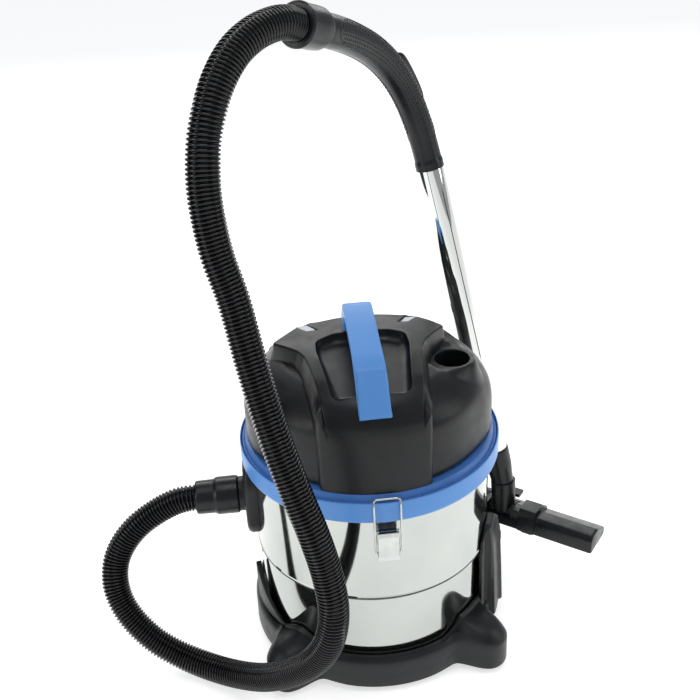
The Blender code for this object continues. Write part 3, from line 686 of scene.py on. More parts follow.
def studs(places, radius, high):
    """Small domed studs, each at a point with its way out and a direction along."""
    verts, faces = [], []
    for point, out, along in places:
        out, along = Vector(out), Vector(along)
        across = out.cross(along).normalized()
        first = len(verts)
        for share, lift in ((1.0, 0.0), (0.75, 0.65)):
            for k in range(6):
                turn = math.pi * k / 3
                verts.append(Vector(point) + share * radius * (math.cos(turn) * along
                        + math.sin(turn) * across)
                             + out * high * lift)
        verts.append(Vector(point) + out * high)
        for k in range(6):
            after = (k + 1) % 6
            faces.append((first + k, first + after, first + 6 + after, first + 6 + k))
            faces.append((first + 6 + k, first + 6 + after, first + 12))
        faces.append(tuple(first + 5 - k for k in range(6)))
    mesh = bpy.data.meshes.new("studs")
    mesh.from_pydata([tuple(v) for v in verts], [], faces)
    return clean(mesh)


def panel_lines(line, side, out, radii, at, total):
    """The thin raised outline round each dotted panel."""
    parts = []
    for hand in (1, -1):
        edge = []
        span = np.linspace(0.01, total - 0.042, 60)
        for far in span:
            edge.append((far, 41))
        for far in span[::-1]:
            edge.append((far, -57))
        ring = []
        for far, degrees in edge:
            ease = min(1.0, (far - 0.01) / 0.02, (total - 0.042 - far) / 0.02)
            ease = math.sqrt(max(0.0, ease))
            angle = math.radians(-8 + (degrees + 8) * max(0.12, ease))
            i = min(int(np.searchsorted(at, far)), len(line) - 1)
            lift = hand * math.cos(angle) * side[i] + math.sin(angle) * out[i]
            ring.append((line[i] + lift * (radii[i] + 0.0001)))
        ring = np.array(ring)
        ring, _ = spaced(np.concatenate([ring, ring[:1]]), 0.0025)
        parts.append(tube(ring[:-1], 0.00055, 6, "loop"))
    return merged(*parts)


def build_slider():
    line = grip_line(14)
    before, here, after = line[6], line[9], line[12]
    along = (after - before).normalized()
    inward = (before + after) / 2 - here
    inward = (inward - inward.dot(along) * along).normalized()
    chord = (after - before).length / 2
    depth = ((before + after) / 2 - here).dot(inward)
    radius = (chord ** 2 + depth ** 2) / (2 * depth)
    out, centre = -inward, here + inward * radius
    across = along.cross(out)
    half = 0.035
    rows = []
    for k in np.linspace(-1, 1, 41):
        turn = k * half / radius
        way = out * math.cos(turn) + along * math.sin(turn)
        base = centre + way * (radius + WAND_R)
        ease = math.sqrt(max(0.0, 1 - abs(k) ** 7))
        wide = 0.0026 + 0.0064 * ease
        high = 0.003 + 0.0072 * max(0.0, 1 - abs(k) ** 9) ** 0.5 * (1 - 0.25 * k)
        section = round_loop([(-wide, 0.0006, 0), (wide, 0.0006, 0), (wide, high, 0.003),
                              (-wide, high, 0.003)], 4)
        rows.append([tuple(base + across * s + way * h) for s, h in section])
    add("slider_pod", loft(rows), satin_black(), "slider", "air_slider", sharp=50)
    groove = []
    for k in np.linspace(-0.93, 0.93, 30):
        turn = k * half / radius
        way = out * math.cos(turn) + along * math.sin(turn)
        groove.append(centre + way * (radius + WAND_R + 0.0008))
    line = np.array([tuple(p) for p in groove])
    add("slider_seat", tube(line, 0.0086 * np.ones(len(line)) * 0.5, 12), dome_black(),
        "root")


def build_wand():
    length = (WAND_TOP - WAND_LOW).length
    wall = rounded([
        (0.0163, 0.0), (0.0172, 0.0), (0.0175, 0.0006, 0.0003), (0.0175, length * 0.5 - 0.001),
        (0.0175, length - 0.0006, 0.0003),
        (0.0172, length), (0.0163, length),
    ])
    add("wand", aimed(lathe(wall, 96), WAND_LOW, WAND_WAY), chrome(), "root", "wand_tube")


# ---------------------------------------------------------------- tank, rim and latches

def build_tank():
    wall = rounded(mm([
        (0, 36.6), (149, 36.6, 4), (153, 41, 4), (153, 144, 0.8), (153.7, 145.2, 0.8), (154.1, 146.2, 0.6),
        (154.1, 147, 0.5), (156.6, 148.2, 1), (156.8, 150, 1.2), (156, 152, 1), (156, 292.5),
        (154.4, 292.5), (154.4, 152), (151.4, 147), (151.4, 41.5, 4), (147.5, 38.2, 4), (0, 38.2),
    ]))
    mesh = lathe(wall, 160, closed=False)
    hole = aimed(lathe([(0, 0), (0.025, 0), (0.025, 0.04), (0, 0.04)], 48, closed=False),
                 (-0.175, 0, INLET_Z), (1, 0, 0))
    add("tank_shell", carve(mesh, hole), tank_steel(), "root", "tank", sharp=60)

    rim = rounded([
        (0.1563, RIM_LOW), (0.1672, RIM_LOW, 0.0006), (0.1681, RIM_LOW + 0.003, 0.002),
        (0.1681, LIP_TOP - 0.0016, 0.0012),
        (0.1672, LIP_TOP, 0.0008), (0.1661, LIP_TOP - 0.001, 0.0008), (0.1661, RIM_TOP + 0.0008),
        (0.165, RIM_TOP),
        (0.1563, RIM_TOP),
    ])
    # A thin dark steel band at the tank's step: painted reflection of dark ground in the inward-curving bead.
    step = rounded([(0.1556, 0.1478), (0.1569, 0.1478, 0.0003), (0.157, 0.1502, 0.0006), (0.1556, 0.151)])
    add("tank_step_reflection_band", lathe(step, 160), shade_and_reflection_steel(), "root", sharp=50)
    add("tank_rim_band", lathe(rim, 160), blue(), "root", "tank_rim", sharp=50)


def build_inlet():
    outline = []
    for k in range(72):
        turn = 2 * math.pi * k / 72
        outline.append((0.0355 * math.cos(turn), 0.0355 * math.sin(turn)
                        + math.copysign(0.0215, math.sin(turn))))
    lie = Matrix(((0, 0, -1, 0), (1, 0, 0, 0), (0, 1, 0, 0.2155), (0, 0, 0, 1)))
    rows = []
    for out, share in ((0.14, 1.0), (0.1625, 1.0), (0.1658, 0.975), (0.1678, 0.93), (0.169, 0.86)):
        rows.append([(x * share, y * share, out) for x, y in outline])
    boss = loft(rows)
    boss.transform(lie)
    boss = carve(boss, lathe([(0, 0), (TANK_R + 0.0003, 0), (TANK_R + 0.0003, 0.5), (0, 0.5)], 160,
                             closed=False))
    neck = rounded(mm([
        (17.6, -4), (28.5, -4), (27.5, 3, 2), (23.2, 6, 2), (22.8, 12.2), (17.6, 12.2),
    ]))
    neck = aimed(lathe(neck, 64), (-0.164, 0, INLET_Z), (-1, 0, 0))
    duct = aimed(lathe([(0, -0.03), (0.0175, -0.03), (0.0175, 0.03), (0, 0.03)], 48, closed=False),
                 (-0.164, 0, INLET_Z), (-1, 0, 0))
    boss = carve(carve(boss, neck, "UNION"), duct)
    add("inlet_cover", boss, base_black(), "root", "inlet_boss", sharp=40)


def build_latches():
    for side in ("front", "rear"):
        turn = Matrix.Rotation(0 if side == "front" else math.pi, 4, "Z")
        plate = rounded(mm([
            (-156.6, 212), (-158, 212), (-158, 252, 2), (-163.2, 256.6, 1), (-167.6, 257.8, 2),
            (-167.6, 262.2, 2), (-163.2, 263.4, 1), (-158, 268, 2), (-158, 272), (-156.6, 272),
        ]))
        base = side_prism(plate, 0.0108)
        base.transform(turn)
        # The plate's dark steel is painted shade: the dark recess above the lever.
        add(f"latch_plate_{side}", base, shade_and_reflection_steel(), "root", f"latch_base_{side}", bevel=0.0006)

        outer = rounded(mm([
            (-170.6, 261.2), (-172.2, 256, 4), (-173.8, 242, 4), (-173.5, 235, 4), (-171.4, 226.5, 4),
            (-172.2, 221.5, 2),
        ]))
        inner = [(y + 0.0013, z) for y, z in reversed(outer)]
        web = side_prism(outer + inner, 0.0132)
        cheeks = []
        for x in (-0.0126, 0.0126):
            shape = rounded(mm([
                (-164.2, 263.4, 1), (-169, 263.4, 3), (-172.2, 256, 4), (-173.8, 242, 4), (-173.5, 235, 4),
                (-171.4, 226.5, 4), (-169, 226, 3), (-167.2, 237, 6), (-164.2, 257, 3), (-164.2, 263.4),
            ]))
            cheeks.append(side_prism(shape[:-1], 0.0006, x))
        pin = aimed(lathe([(0, -0.0138), (0.0018, -0.0138), (0.0018, 0.0138), (0, 0.0138)], 24, closed=False),
                    LATCH_PIVOT, (1, 0, 0))
        lever = merged(web, *cheeks, pin)
        lever.transform(turn)
        add(f"latch_lever_sheet_{side}", lever, plated(), f"lever_{side}", f"latch_lever_{side}",
            bevel=0.0004, segments=2)

        y0, z0, half = BAIL_PIVOT.y, BAIL_PIVOT.z, 0.0158
        route = [
            (0.01, y0, z0), (0.0142, y0, z0), (half - 0.0004, y0 - 0.0006, z0 + 0.004),
            (half, y0 - 0.0002, z0 + 0.012),
            (half, -0.1704, 0.27), (half, -0.17, 0.29), (half, -0.169, 0.3), (half - 0.0006, -0.166, 0.3062),
            (half - 0.003, -0.165, 0.3078), (half - 0.007, -0.1649, 0.308),
        ]
        route += [(-x, y, z) for x, y, z in reversed(route)]
        line, _ = spaced(smooth_line(route, 0.0008), 0.0012)
        wire = tube(line, 0.00125, 14)
        wire.transform(turn)
        add(f"latch_wire_{side}", wire, plated(), f"bail_{side}", f"latch_bail_{side}", sharp=60)


# ---------------------------------------------------------------- head

CROWN = mm([
    (0, 447.5), (40, 447), (85, 442.5), (120, 434), (142, 422), (152, 409), (156.7, 399), (158.5, 390),
])
# The raised saddle and deck: half of the outline from the front middle to the rear, from the saddle's middle.
EDGE_TOP = mm([
    (56.5, -148), (60, -121), (64.5, -90), (67.6, -70), (72, -49), (78.6, -34), (91.5, -16.7), (108, 4),
    (79, 26.5), (54, 32.5), (28, 36.2), (0, 37.5),
])
EDGE_FOOT = mm([
    (65.5, -146), (69, -125), (71.5, -105), (76, -85), (79.5, -60), (88, -28), (104, -2), (113, 10),
    (118, 50), (112, 90), (85, 120), (45, 137), (0, 144),
])
STAR = Vector((HEAD_X, -0.02))
DECK_Y, DECK_Z, REAR_FALL = 0.0375, 0.444, 0.56
SIDE_WALL = [
    (0, 0.424), (0.06, 0.4235), (0.09, 0.4205), (0.107, 0.4165), (0.12, 0.4085), (0.13, 0.3985),
    (0.14, 0.389), (0.145, 0.3845), (0.15, 0.378), (0.154, 0.371), (0.1565, 0.364), (0.1578, 0.354),
    (0.158, HEAD_LOW), (0, HEAD_LOW),
]
FRONT_WALL = [
    (0, 0.424), (0.06, 0.4235), (0.09, 0.4205), (0.107, 0.416), (0.118, 0.4105), (0.127, 0.405),
    (0.135, 0.399), (0.141, 0.3935), (0.146, 0.3875), (0.1488, 0.382), (0.1498, 0.376), (0.1502, 0.368),
    (0.1524, HEAD_LOW), (0, HEAD_LOW),
]


def crown_height(radius):
    line = np.array(rounded([(r, z, 0.05) for r, z in CROWN], 6))
    return np.interp(radius, line[:, 0], line[:, 1])


def star_reach(edge, angles, outer):
    """How far from STAR each direction runs before it meets the saddle's edge or the head's outer circle."""
    reach = []
    right = [Vector((HEAD_X + x, y)) for x, y in edge]
    left = [Vector((HEAD_X - x, y)) for x, y in edge]
    chains = [[right[0] + Vector((-0.004, -0.03))] + right, [left[0] + Vector((0.004, -0.03))] + left]
    for angle in angles:
        way = Vector((math.cos(angle), math.sin(angle)))
        b = STAR.dot(way)
        best = -b + math.sqrt(b * b - STAR.length_squared + outer ** 2)
        on_edge = 0.0
        for chain in chains:
            for start, end in zip(chain, chain[1:]):
                run = end - start
                det = way.x * -run.y + way.y * run.x
                if abs(det) < 1e-12:
                    continue
                gap = start - STAR
                t = (gap.x * -run.y + gap.y * run.x) / det
                s = (way.x * gap.y - way.y * gap.x) / det
                if t > 0 and 0 <= s <= 1 and t < best:
                    best, on_edge = t, 1.0
        reach.append((best, on_edge))
    return np.array(reach)


def crown_body():
    """The head's raised part: saddle, rear deck and their walls, as one closed shape."""
    count = 480
    angles = np.linspace(0, 2 * math.pi, count, endpoint=False)
    top = star_reach(EDGE_TOP, angles, 0.1585)
    foot = star_reach(EDGE_FOOT, angles, 0.159)
    kernel = np.array([1, 2, 3, 2, 1]) / 9

    def smooth(v):
        return np.convolve(np.concatenate([v[-2:], v, v[:2]]), kernel, "valid")

    reach, foot_reach = smooth(top[:, 0]), smooth(foot[:, 0])
    on_edge = smooth(smooth(top[:, 1]))
    ways = np.stack([np.cos(angles), np.sin(angles)], 1)
    star = np.array(STAR[:])
    rearward = np.clip((np.sin(angles) - 0.25) / 0.35, 0, 1)
    foot_z = 0.41 - 0.025 * rearward
    fillet = 0.0024
    insets = [0.0, 0.0002, 0.0006, 0.0012, 0.0018, 0.0024, 0.0036, 0.006, 0.0085, 0.012, 0.017, 0.023]
    rows = []
    for share in np.linspace(0, 1, 26)[:-1]:
        rows.append((share * (reach - 0.03), None))
    for inset in reversed(insets):
        rows.append((reach - inset, inset))
    made = []
    for far, inset in rows:
        spot = star + far[:, None] * ways
        z = crown_height(np.linalg.norm(spot, axis=1))
        if inset is not None and inset < fillet:
            z = z - on_edge * (fillet - math.sqrt(fillet ** 2 - (fillet - inset) ** 2))
        made.append(np.column_stack([spot, z]))
    rim = made[-1]
    for height in (0.94, 0.85, 0.75, 0.65, 0.55, 0.45, 0.3, 0.15, 0.0):
        z = HEAD_LOW + height * (rim[:, 2] - HEAD_LOW)
        lean = np.clip((rim[:, 2] - z) / np.maximum(rim[:, 2] - foot_z, 0.004), 0, 1)
        far = reach + (foot_reach - reach) * lean
        made.append(np.column_stack([star + far[:, None] * ways, z]))
    bottom = np.column_stack([star + 0 * ways, np.full(count, HEAD_LOW)])
    made.append(bottom)
    return loft(made, "open")


def evened(profile, count):
    """A profile as the given number of evenly spaced points."""
    line = np.array(rounded([(r, z, 0.006) for r, z in profile], 4))
    at = np.concatenate([[0], np.cumsum(np.linalg.norm(np.diff(line, axis=0), axis=1))])
    pick = np.linspace(0, at[-1], count)
    return np.stack([np.interp(pick, at, line[:, k]) for k in range(2)], 1)


def lower_body():
    """The head's lowered shoulders, its rear and the wall below them."""
    turns = 200
    around = np.linspace(0, 2 * math.pi, turns, endpoint=False)
    from_front = np.abs((np.degrees(around) - 270 + 180) % 360 - 180)
    share = np.clip((from_front - 48) / 28, 0, 1)
    share = share ** 2 * (3 - 2 * share)
    front, side = evened(FRONT_WALL, 110), evened(SIDE_WALL, 110)
    rows = []
    for (r0, z0), (r1, z1) in zip(front, side):
        r, z = r0 + (r1 - r0) * share, z0 + (z1 - z0) * share
        x, y = r * np.cos(around), r * np.sin(around)
        near = np.clip((0.04 - np.hypot(x - PORT_X, y - PORT_Y)) / 0.014, 0, 1)
        near = near ** 2 * (3 - 2 * near)
        z = np.where(z > 0.38, z + (PORT_TOP - z) * near, z)
        rows.append(np.stack([x, y, np.minimum(z, DECK_Z - REAR_FALL * (y - DECK_Y))], 1))
    return loft(rows, "open")


def recess_cutter():
    """The finger recess: sloping floor, rounded corners, and edges that roll over into the crown."""
    plan = round_loop(mm([
        (-55, -19, 12), (-34, -8.5, 20), (0, -6, 60), (34, -8.5, 20), (55, -19, 12), (56, -42, 30),
        (45.2, -128.5, 13), (-45.2, -128.5, 13), (-56, -42, 30),
    ]), 8)
    plan = np.array(plan)
    dense, _ = spaced(np.column_stack([np.concatenate([plan, plan[:1]]), np.zeros(len(plan) + 1)]), 0.0035)
    plan = dense[:-1, :2]
    run = np.roll(plan, -1, 0) - np.roll(plan, 1, 0)
    out = np.stack([run[:, 1], -run[:, 0]], 1)
    out /= np.linalg.norm(out, axis=1)[:, None]
    if np.sum(out * (plan - plan.mean(0))) < 0:
        out = -out

    def floor(y):
        return 0.435 + (y + 0.015) * (0.421 - 0.435) / (-0.125 + 0.015)

    lip = 0.0016
    rows = []
    for inset, lift in ((0.011, 0.0), (0.0075, 0.0003), (0.0045, 0.0014), (0.002, 0.0034), (0.0006, 0.0058)):
        spot = plan - out * inset
        rows.append(np.column_stack([spot[:, 0] + HEAD_X, spot[:, 1], floor(spot[:, 1]) + lift]))
    for turn in (0, 22, 45, 68, 85):
        angle = math.radians(turn)
        grow, drop = lip * (1 - math.cos(angle)), lip * (1 - math.sin(angle))
        spot = plan + out * grow
        world = np.column_stack([spot[:, 0] + HEAD_X, spot[:, 1]])
        rows.append(np.column_stack([world, crown_height(np.linalg.norm(world, axis=1)) - drop]))
    rows.append(rows[-1] + np.array([0, 0, 0.002]))
    rows.append(np.column_stack([rows[-1][:, :2], np.full(len(plan), 0.5)]))
    return loft(rows)


NOTCHES = [[(HEAD_X + side * x, y) for x, y in ((0.0485, 0.009), (0.064, 0.0112), (0.0775, 0.0265),
                                                (0.0625, 0.029))]
           for side in (-1, 1)]


def build_head():
    shell = carve(crown_body(), lower_body(), "UNION")
    shell = carve(shell, recess_cutter())
    lip = 0.0016
    port = [(0, 0.38), (PORT_R, 0.38)]
    for turn in (0, 25, 50, 75, 90):
        angle = math.radians(turn)
        port.append((PORT_R + lip * (1 - math.cos(angle)), PORT_TOP - lip * (1 - math.sin(angle))))
    port += [(PORT_R + lip, 0.46), (0, 0.46)]
    port = lathe(port, 72, closed=False)
    port.transform(Matrix.Translation((PORT_X, PORT_Y, 0)))
    shell = carve(shell, port)
    hollow = [(0, 0.3), (0.148, 0.3), (0.148, 0.36), (0.123, 0.383), (0.104, 0.392), (0, 0.392)]
    cavity = lathe(hollow, 96, closed=False)
    shell = carve(shell, cavity)
    shell = carve(shell, block((-0.062, 0.13, 0.345), (-0.038, 0.17, 0.375)))
    cord_hole = aimed(lathe([(0, 0), (0.0082, 0), (0.0082, 0.05), (0, 0.05)], 32, closed=False),
                      (0.04, 0.125, 0.335), (0, 1, 0))
    shell = carve(shell, cord_hole)
    for outline in NOTCHES:
        shell = carve(shell, prism(outline, 0.4385, 0.46))
    add("head_shell", shell, dome_black(), "motor_head", "motor_cover", sharp=30)
    # Pale plates in the rear notches: their pale colour is a painted highlight, the light the notches
    # reflect.
    for k, outline in enumerate(NOTCHES):
        middle = Vector(np.mean(np.array(outline), 0))
        inner = [tuple(middle + (Vector(p) - middle) * 0.94) for p in outline]
        plate = prism(inner, 0.437, 0.4432)
        add(f"deck_highlight_inset_{k + 1}", plate, highlight_grey(), "motor_head", bevel=0.0006)


def build_handle():
    outer = mm([
        (-150, 415.2), (-134, 433), (-118, 450), (-100, 457.5), (-70, 464), (-30, 471.8), (0, 476.3),
        (12, 476.5), (20.5, 471.8), (25.2, 463), (26.5, 442),
    ])
    inner = mm([
        (-140, 406.5), (-128, 424), (-114, 437), (-99, 447), (-70, 454), (-35, 461.2), (-19, 463.4),
        (-10.5, 461.5), (-5.2, 457), (-4.2, 452), (-4, 442),
    ])
    wide = [(0, 0.019), (0.3, 0.0186), (0.45, 0.018), (0.8, 0.018), (0.9, 0.0184), (1.0, 0.02)]
    outer, _ = spaced(smooth_line([(y, z, 0) for y, z in outer], 0.0015), 0.0024)
    count = len(outer)
    inner, _ = spaced(smooth_line([(y, z, 0) for y, z in inner], 0.0015), 0.002)
    pick = np.linspace(0, len(inner) - 1, count)
    inner = np.stack([np.interp(pick, np.arange(len(inner)), inner[:, k]) for k in range(2)], 1)
    rows = []
    for k in range(count):
        top, low = outer[k, :2], inner[k]
        middle, reach = (top + low) / 2, np.linalg.norm(top - low) / 2
        way = (top - low) / (2 * reach)
        half = np.interp(k / (count - 1), *zip(*wide))
        corner = min(0.0046, reach * 0.8)
        section = round_loop([(-half, -reach, corner * 0.8), (half, -reach, corner * 0.8),
                              (half, reach, corner),
                              (-half, reach, corner)], 5)
        rows.append([(HEAD_X + x, *(middle + way * lift)) for x, lift in section])
    add("handle_strap", loft(rows), blue(), "motor_head", "carry_handle", sharp=50)

    foot_top, foot_low = Vector((-0.116, 0.454)), Vector((-0.1545, 0.4125))
    down = (foot_low - foot_top).normalized()
    long = (foot_low - foot_top).length
    plan = round_loop([(-0.0158, 0.0, 0.007), (0.0158, 0.0, 0.007), (0.0186, long, 0.0012),
                       (-0.0186, long, 0.0012)], 8)
    face = Vector((down.y, -down.x))
    if face.x > 0:
        face = -face
    place = Matrix((
        (1, 0, 0, HEAD_X), (0, down.x, face.x, foot_top.x), (0, down.y, face.y, foot_top.y), (0, 0, 0, 1)))
    foot = prism(plan, -0.015, 0.001, place)
    add("handle_foot", foot, blue(), "motor_head", bevel=0.0012, segments=4)


def build_ring():
    ring = rounded([
        (0.148, RING_LOW), (0.1652, RING_LOW), (0.1654, RING_LOW + 0.0074, 0.0012),
        (0.164, RING_LOW + 0.0084, 0.001),
        (0.1628, RING_LOW + 0.0078, 0.0008), (0.1606, RING_TOP - 0.003, 0.002),
        (0.1592, RING_TOP - 0.0004, 0.001),
        (0.1575, RING_TOP), (0.148, RING_TOP),
    ])
    # The lid ring is the same blue as the rim, darkened here as painted shade.
    add("lid_band", lathe(ring, 160), shaded_blue(), "motor_head", "lid_ring", sharp=50)


def build_rear():
    rocker = rounded(mm([
        (144, 347), (152, 347, 1), (154.8, 350.5, 3), (152.8, 360, 20), (154.8, 369.5, 3), (152, 373, 1),
        (144, 373),
    ]))
    add("rocker_cap", side_prism(rocker, 0.0112, ROCKER_PIVOT.x), blue(), "rocker",
        "power_rocker",
        bevel=0.0008)
    gland_at = Vector((0.04, 0.144, 0.335))
    sleeve = [(0.003, 0.006), (0.003, 0.0), (0.0078, 0.0), (0.0078, 0.013)]
    for k in range(5):
        z = 0.014 + 0.0032 * k
        wide = 0.007 - 0.0004 * k
        sleeve += [(wide, z), (wide, z + 0.002), (wide - 0.0012, z + 0.0022), (wide - 0.0012, z + 0.0031)]
    sleeve += [(0.005, 0.03), (0.003, 0.03)]
    add("gland_sleeve", aimed(lathe(sleeve, 40), gland_at, (0, 1, 0)), rubber(), "motor_head",
        "cable_gland", sharp=30)


# ---------------------------------------------------------------- inside

def build_inside():
    count, pleats = 360, 60
    around = np.linspace(0, 2 * math.pi, count, endpoint=False)
    wave = 0.5 + 0.5 * np.cos(around * pleats)
    outer = 0.0645 + 0.0072 * wave
    inner = 0.0535 + 0.003 * wave
    rows = []
    for radius, z in ((inner, 0.218), (outer, 0.218), (outer, 0.2985), (inner, 0.2985)):
        rows.append(np.stack([radius * np.cos(around), radius * np.sin(around), np.full(count, z)], 1))
    add("filter_pleats", loft(rows, "loop"), paper(), "motor_head", "filter_cartridge",
        sharp=60)
    ball = [(0.0238 * math.sin(t), 0.2394 - 0.0238 * math.cos(t)) for t in np.linspace(0, math.pi, 25)]
    add("float_shell", lathe(ball, 48, closed=False), white_plastic(), "float", "float_ball",
        sharp=60)
    for node, finish, edge in (
            ("lid_seal", rubber(), 0.001), ("motor_plate", base_black(), 0.0008),
            ("motor_body", bare_steel(), 0.0008),
            ("fan_housing", bare_steel(), 0.0), ("impeller", bare_steel(), 0.0),
            ("motor_shaft", bare_steel(), 0.0003),
            ("filter_cage", satin_grey(), 0.0004), ("filter_cap", base_black(), 0.0006)):
        refinish(node, finish, edge)


# ---------------------------------------------------------------- base and casters

def lobe_reach(degrees, lobe):
    """How far the base reaches at an angle, with rounded lobes over the casters."""
    best = BASE_R
    ray = polar(1, degrees)
    for angle in CASTER_ANGLES.values():
        pin = polar(CASTER_R, angle)
        along = ray.dot(pin)
        off = (pin - along * ray).length
        if along > 0 and off < lobe:
            best = max(best, along + math.sqrt(lobe ** 2 - off ** 2))
    return best


def build_base():
    count = 360
    degrees = np.arange(count) * 360 / count
    reach = np.array([lobe_reach(d, 0.0305) for d in degrees])
    kernel = np.hanning(13)
    kernel /= kernel.sum()
    reach = np.convolve(np.concatenate([reach[-6:], reach, reach[:6]]), kernel, "valid")
    near = np.min([np.abs((degrees - a + 180) % 360 - 180) for a in CASTER_ANGLES.values()], 0)
    hump = np.clip(1 - near / 19.0, 0, 1)
    hump = hump * hump * (3 - 2 * hump) * np.where(degrees > 180, 1.0, 0.2)
    lifted = np.interp((degrees + 60) % 360, [0, 4, 9, 15, 42, 52, 60], [0, 0.2, 1, 1, 1, 0.2, 0])
    lip_z = 0.052 + 0.0195 * np.maximum(hump, lifted)
    brow_z = 0.05 + 0.002 * hump
    low_z = 0.0082 + 0.0015 * np.exp(-((near - 17) / 6.0) ** 2)
    ways = np.stack([np.cos(np.radians(degrees)), np.sin(np.radians(degrees))], 1)

    def row(radius, z):
        radius = np.broadcast_to(radius, (count,))
        return np.column_stack([ways * radius[:, None], np.broadcast_to(z, (count,))])

    rows = [
        row(0.1458, 0.03), row(0.1458, 0.0362), row(0.1535, 0.0362), row(0.1537, lip_z - 0.0012),
        row(0.1543, lip_z), row(0.1562, lip_z + 0.0004), row(0.1584, lip_z - 0.001),
        row(0.16, lip_z - 0.0026 - 0.002 * hump),
        row(reach - 0.0052 - 0.016 * hump, brow_z + 0.0035 + 0.01 * hump),
        row(reach - 0.0034 - 0.008 * hump, brow_z + 0.002 + 0.0055 * hump),
        row(reach - 0.0014 - 0.0025 * hump, brow_z - 0.0004 + 0.001 * hump),
        row(reach - 0.0003, brow_z - 0.004), row(reach, brow_z - 0.0085), row(reach, 0.035),
        row(reach, 0.027),
        row(reach + 0.0004, low_z + 0.003), row(reach, low_z + 0.0008), row(reach - 0.001, low_z),
        row(reach - 0.0026, low_z), row(reach - 0.0032, low_z + 0.001), row(reach - 0.0034, 0.038),
        row(0.158, 0.038), row(0.158, 0.03),
    ]
    skirt = loft(rows, "loop")
    housings = []
    for angle in CASTER_ANGLES.values():
        socket = rounded([(0.0046, 0.0375), (0.0125, 0.0375, 0.001), (0.011, 0.048), (0.0046, 0.048)])
        housing = lathe(socket, 32)
        housing.transform(Matrix.Translation(polar(CASTER_R, angle)))
        housings.append(housing)
    tray = lathe(rounded([(0, 0.03), (0.146, 0.03), (0.146, 0.0361), (0, 0.0361)]), 120, closed=False)
    add("base_skirt", merged(skirt, tray, *housings), base_black(), "root",
        ("base_dolly", "base_tray"),
        sharp=34)

    build_arm_and_post()
    refinish("nozzle_rest", base_black(), 0.0006)


def wall_patch(start, end, low_line, high_line, thick_line, count=24):
    """A curved plate round the tank: for each angle a low edge, a high edge and how far out it stands."""
    rows = []
    for t in np.linspace(0, 1, count):
        degrees = start + (end - start) * t
        low_z, high_z, thick = low_line(t), high_line(t), thick_line(t)
        section = round_loop([
            (0.1572, low_z), (0.1572 + thick, low_z, 0.0018), (0.1572 + thick, high_z, 0.0022),
            (0.1572, high_z, 0.0012),
        ], 4)
        ray = polar(1, degrees)
        rows.append([(ray.x * r, ray.y * r, z) for r, z in section])
    return loft(rows)


def build_arm_and_post():
    def arm_top(t):
        return 0.056 + 0.056 * (1 - t) ** 1.4

    arm = wall_patch(186, 218, lambda t: 0.048, arm_top, lambda t: 0.006 * (1 - t) + 0.0012, 40)
    add("cradle_arm", arm, base_black(), "root", "left_cradle_arm", sharp=40)

    # How far the post stands out from the tank at each angle: a thin strip, a channel's web, a fin.
    angles = [-33.5, -32.5, -28.5, -27.5, -26.0, -19.0, -17.0, -15.5, -12.5, -11.5]
    stands = [0.003, 0.0042, 0.0042, 0.011, 0.0125, 0.0125, 0.013, 0.0175, 0.0175, 0.015]
    tops = [0.135, 0.16, 0.17, 0.176, 0.178, 0.178, 0.178, 0.172, 0.166, 0.16]
    rows = []
    for degrees in np.linspace(angles[0], angles[-1], 56):
        out = np.interp(degrees, angles, stands)
        top = np.interp(degrees, angles, tops)
        flare = 0.006 if degrees > -27 else 0.002
        section = round_loop([
            (0.1572, 0.026), (0.1572 + out + flare, 0.026, 0.002), (0.1572 + out + 0.5 * flare, 0.09, 0.03),
            (0.1572 + out, 0.145, 0.01), (0.1572 + 0.72 * out, top, 0.004), (0.1572, top, 0.0008),
        ], 5)
        ray = polar(1, degrees)
        rows.append([(ray.x * r, ray.y * r, z) for r, z in section])
    post = loft(rows)
    ribs = []
    for z in (0.13, 0.1335, 0.137):
        ribs.append(wall_patch(-15.5, -12.5, lambda t: z, lambda t: z + 0.0014, lambda t: 0.0188, 8))
    add("parking_post", merged(post, *ribs), base_black(), "root", "nozzle_post", sharp=35)


def build_casters():
    for place, angle in CASTER_ANGLES.items():
        pin = polar(CASTER_R, angle)
        turn = Matrix.Translation(pin) @ Matrix.Rotation(math.radians(angle), 4, "Z")
        body = f"swivel_{place}"
        axle_at = turn @ Vector((-CASTER_TRAIL, 0, WHEEL_R))
        across = turn.to_3x3() @ Vector((0, 1, 0))
        hood = round_loop(mm([
            (-15, 8.5, 3), (-16, 20, 4), (-12, 33.5, 6), (5, 35, 3), (7, 31, 3), (1, 24, 6),
            (-4.5, 8.5, 3),
        ]))
        sideways = Matrix(((1, 0, 0, 0), (0, 0, 1, 0), (0, 1, 0, 0), (0, 0, 0, 1)))
        cheeks = [prism(hood, y - 0.001, y + 0.001, turn @ sideways) for y in (-0.0087, 0.0087)]
        roof = block((-0.013, -0.0095, 0.0322), (0.0058, 0.0095, 0.035), turn)
        stem = lathe([(0, 0.034), (0.004, 0.034), (0.004, 0.0495), (0, 0.0495)], 24, closed=False)
        stem.transform(Matrix.Translation(pin))
        add(f"fork_{place}", merged(*cheeks, roof, stem), satin_grey(), body,
            f"caster_fork_{place}", bevel=0.0006)
        tyre = rounded([
            (0.0023, -0.0068), (0.0052, -0.0068, 0.0004), (0.0056, -0.0052, 0.0004), (0.0108, -0.005, 0.0006),
            (0.0114, -0.0068, 0.0006),
            (WHEEL_R - 0.0012, -0.007, 0.0008), (WHEEL_R, -0.0052, 0.0012), (WHEEL_R, 0.0052, 0.0012),
            (WHEEL_R - 0.0012, 0.007, 0.0008),
            (0.0114, 0.0068, 0.0006), (0.0108, 0.005, 0.0006), (0.0056, 0.0052, 0.0004),
            (0.0052, 0.0068, 0.0004), (0.0023, 0.0068),
        ], 3)
        add(f"wheel_tyre_{place}", aimed(lathe(tyre, 48), axle_at, across), rubber(),
            f"wheel_{place}",
            f"caster_wheel_{place}", sharp=40)
        refinish(f"caster_axle_{place}", bare_steel(), 0.0003)


# ---------------------------------------------------------------- nozzle

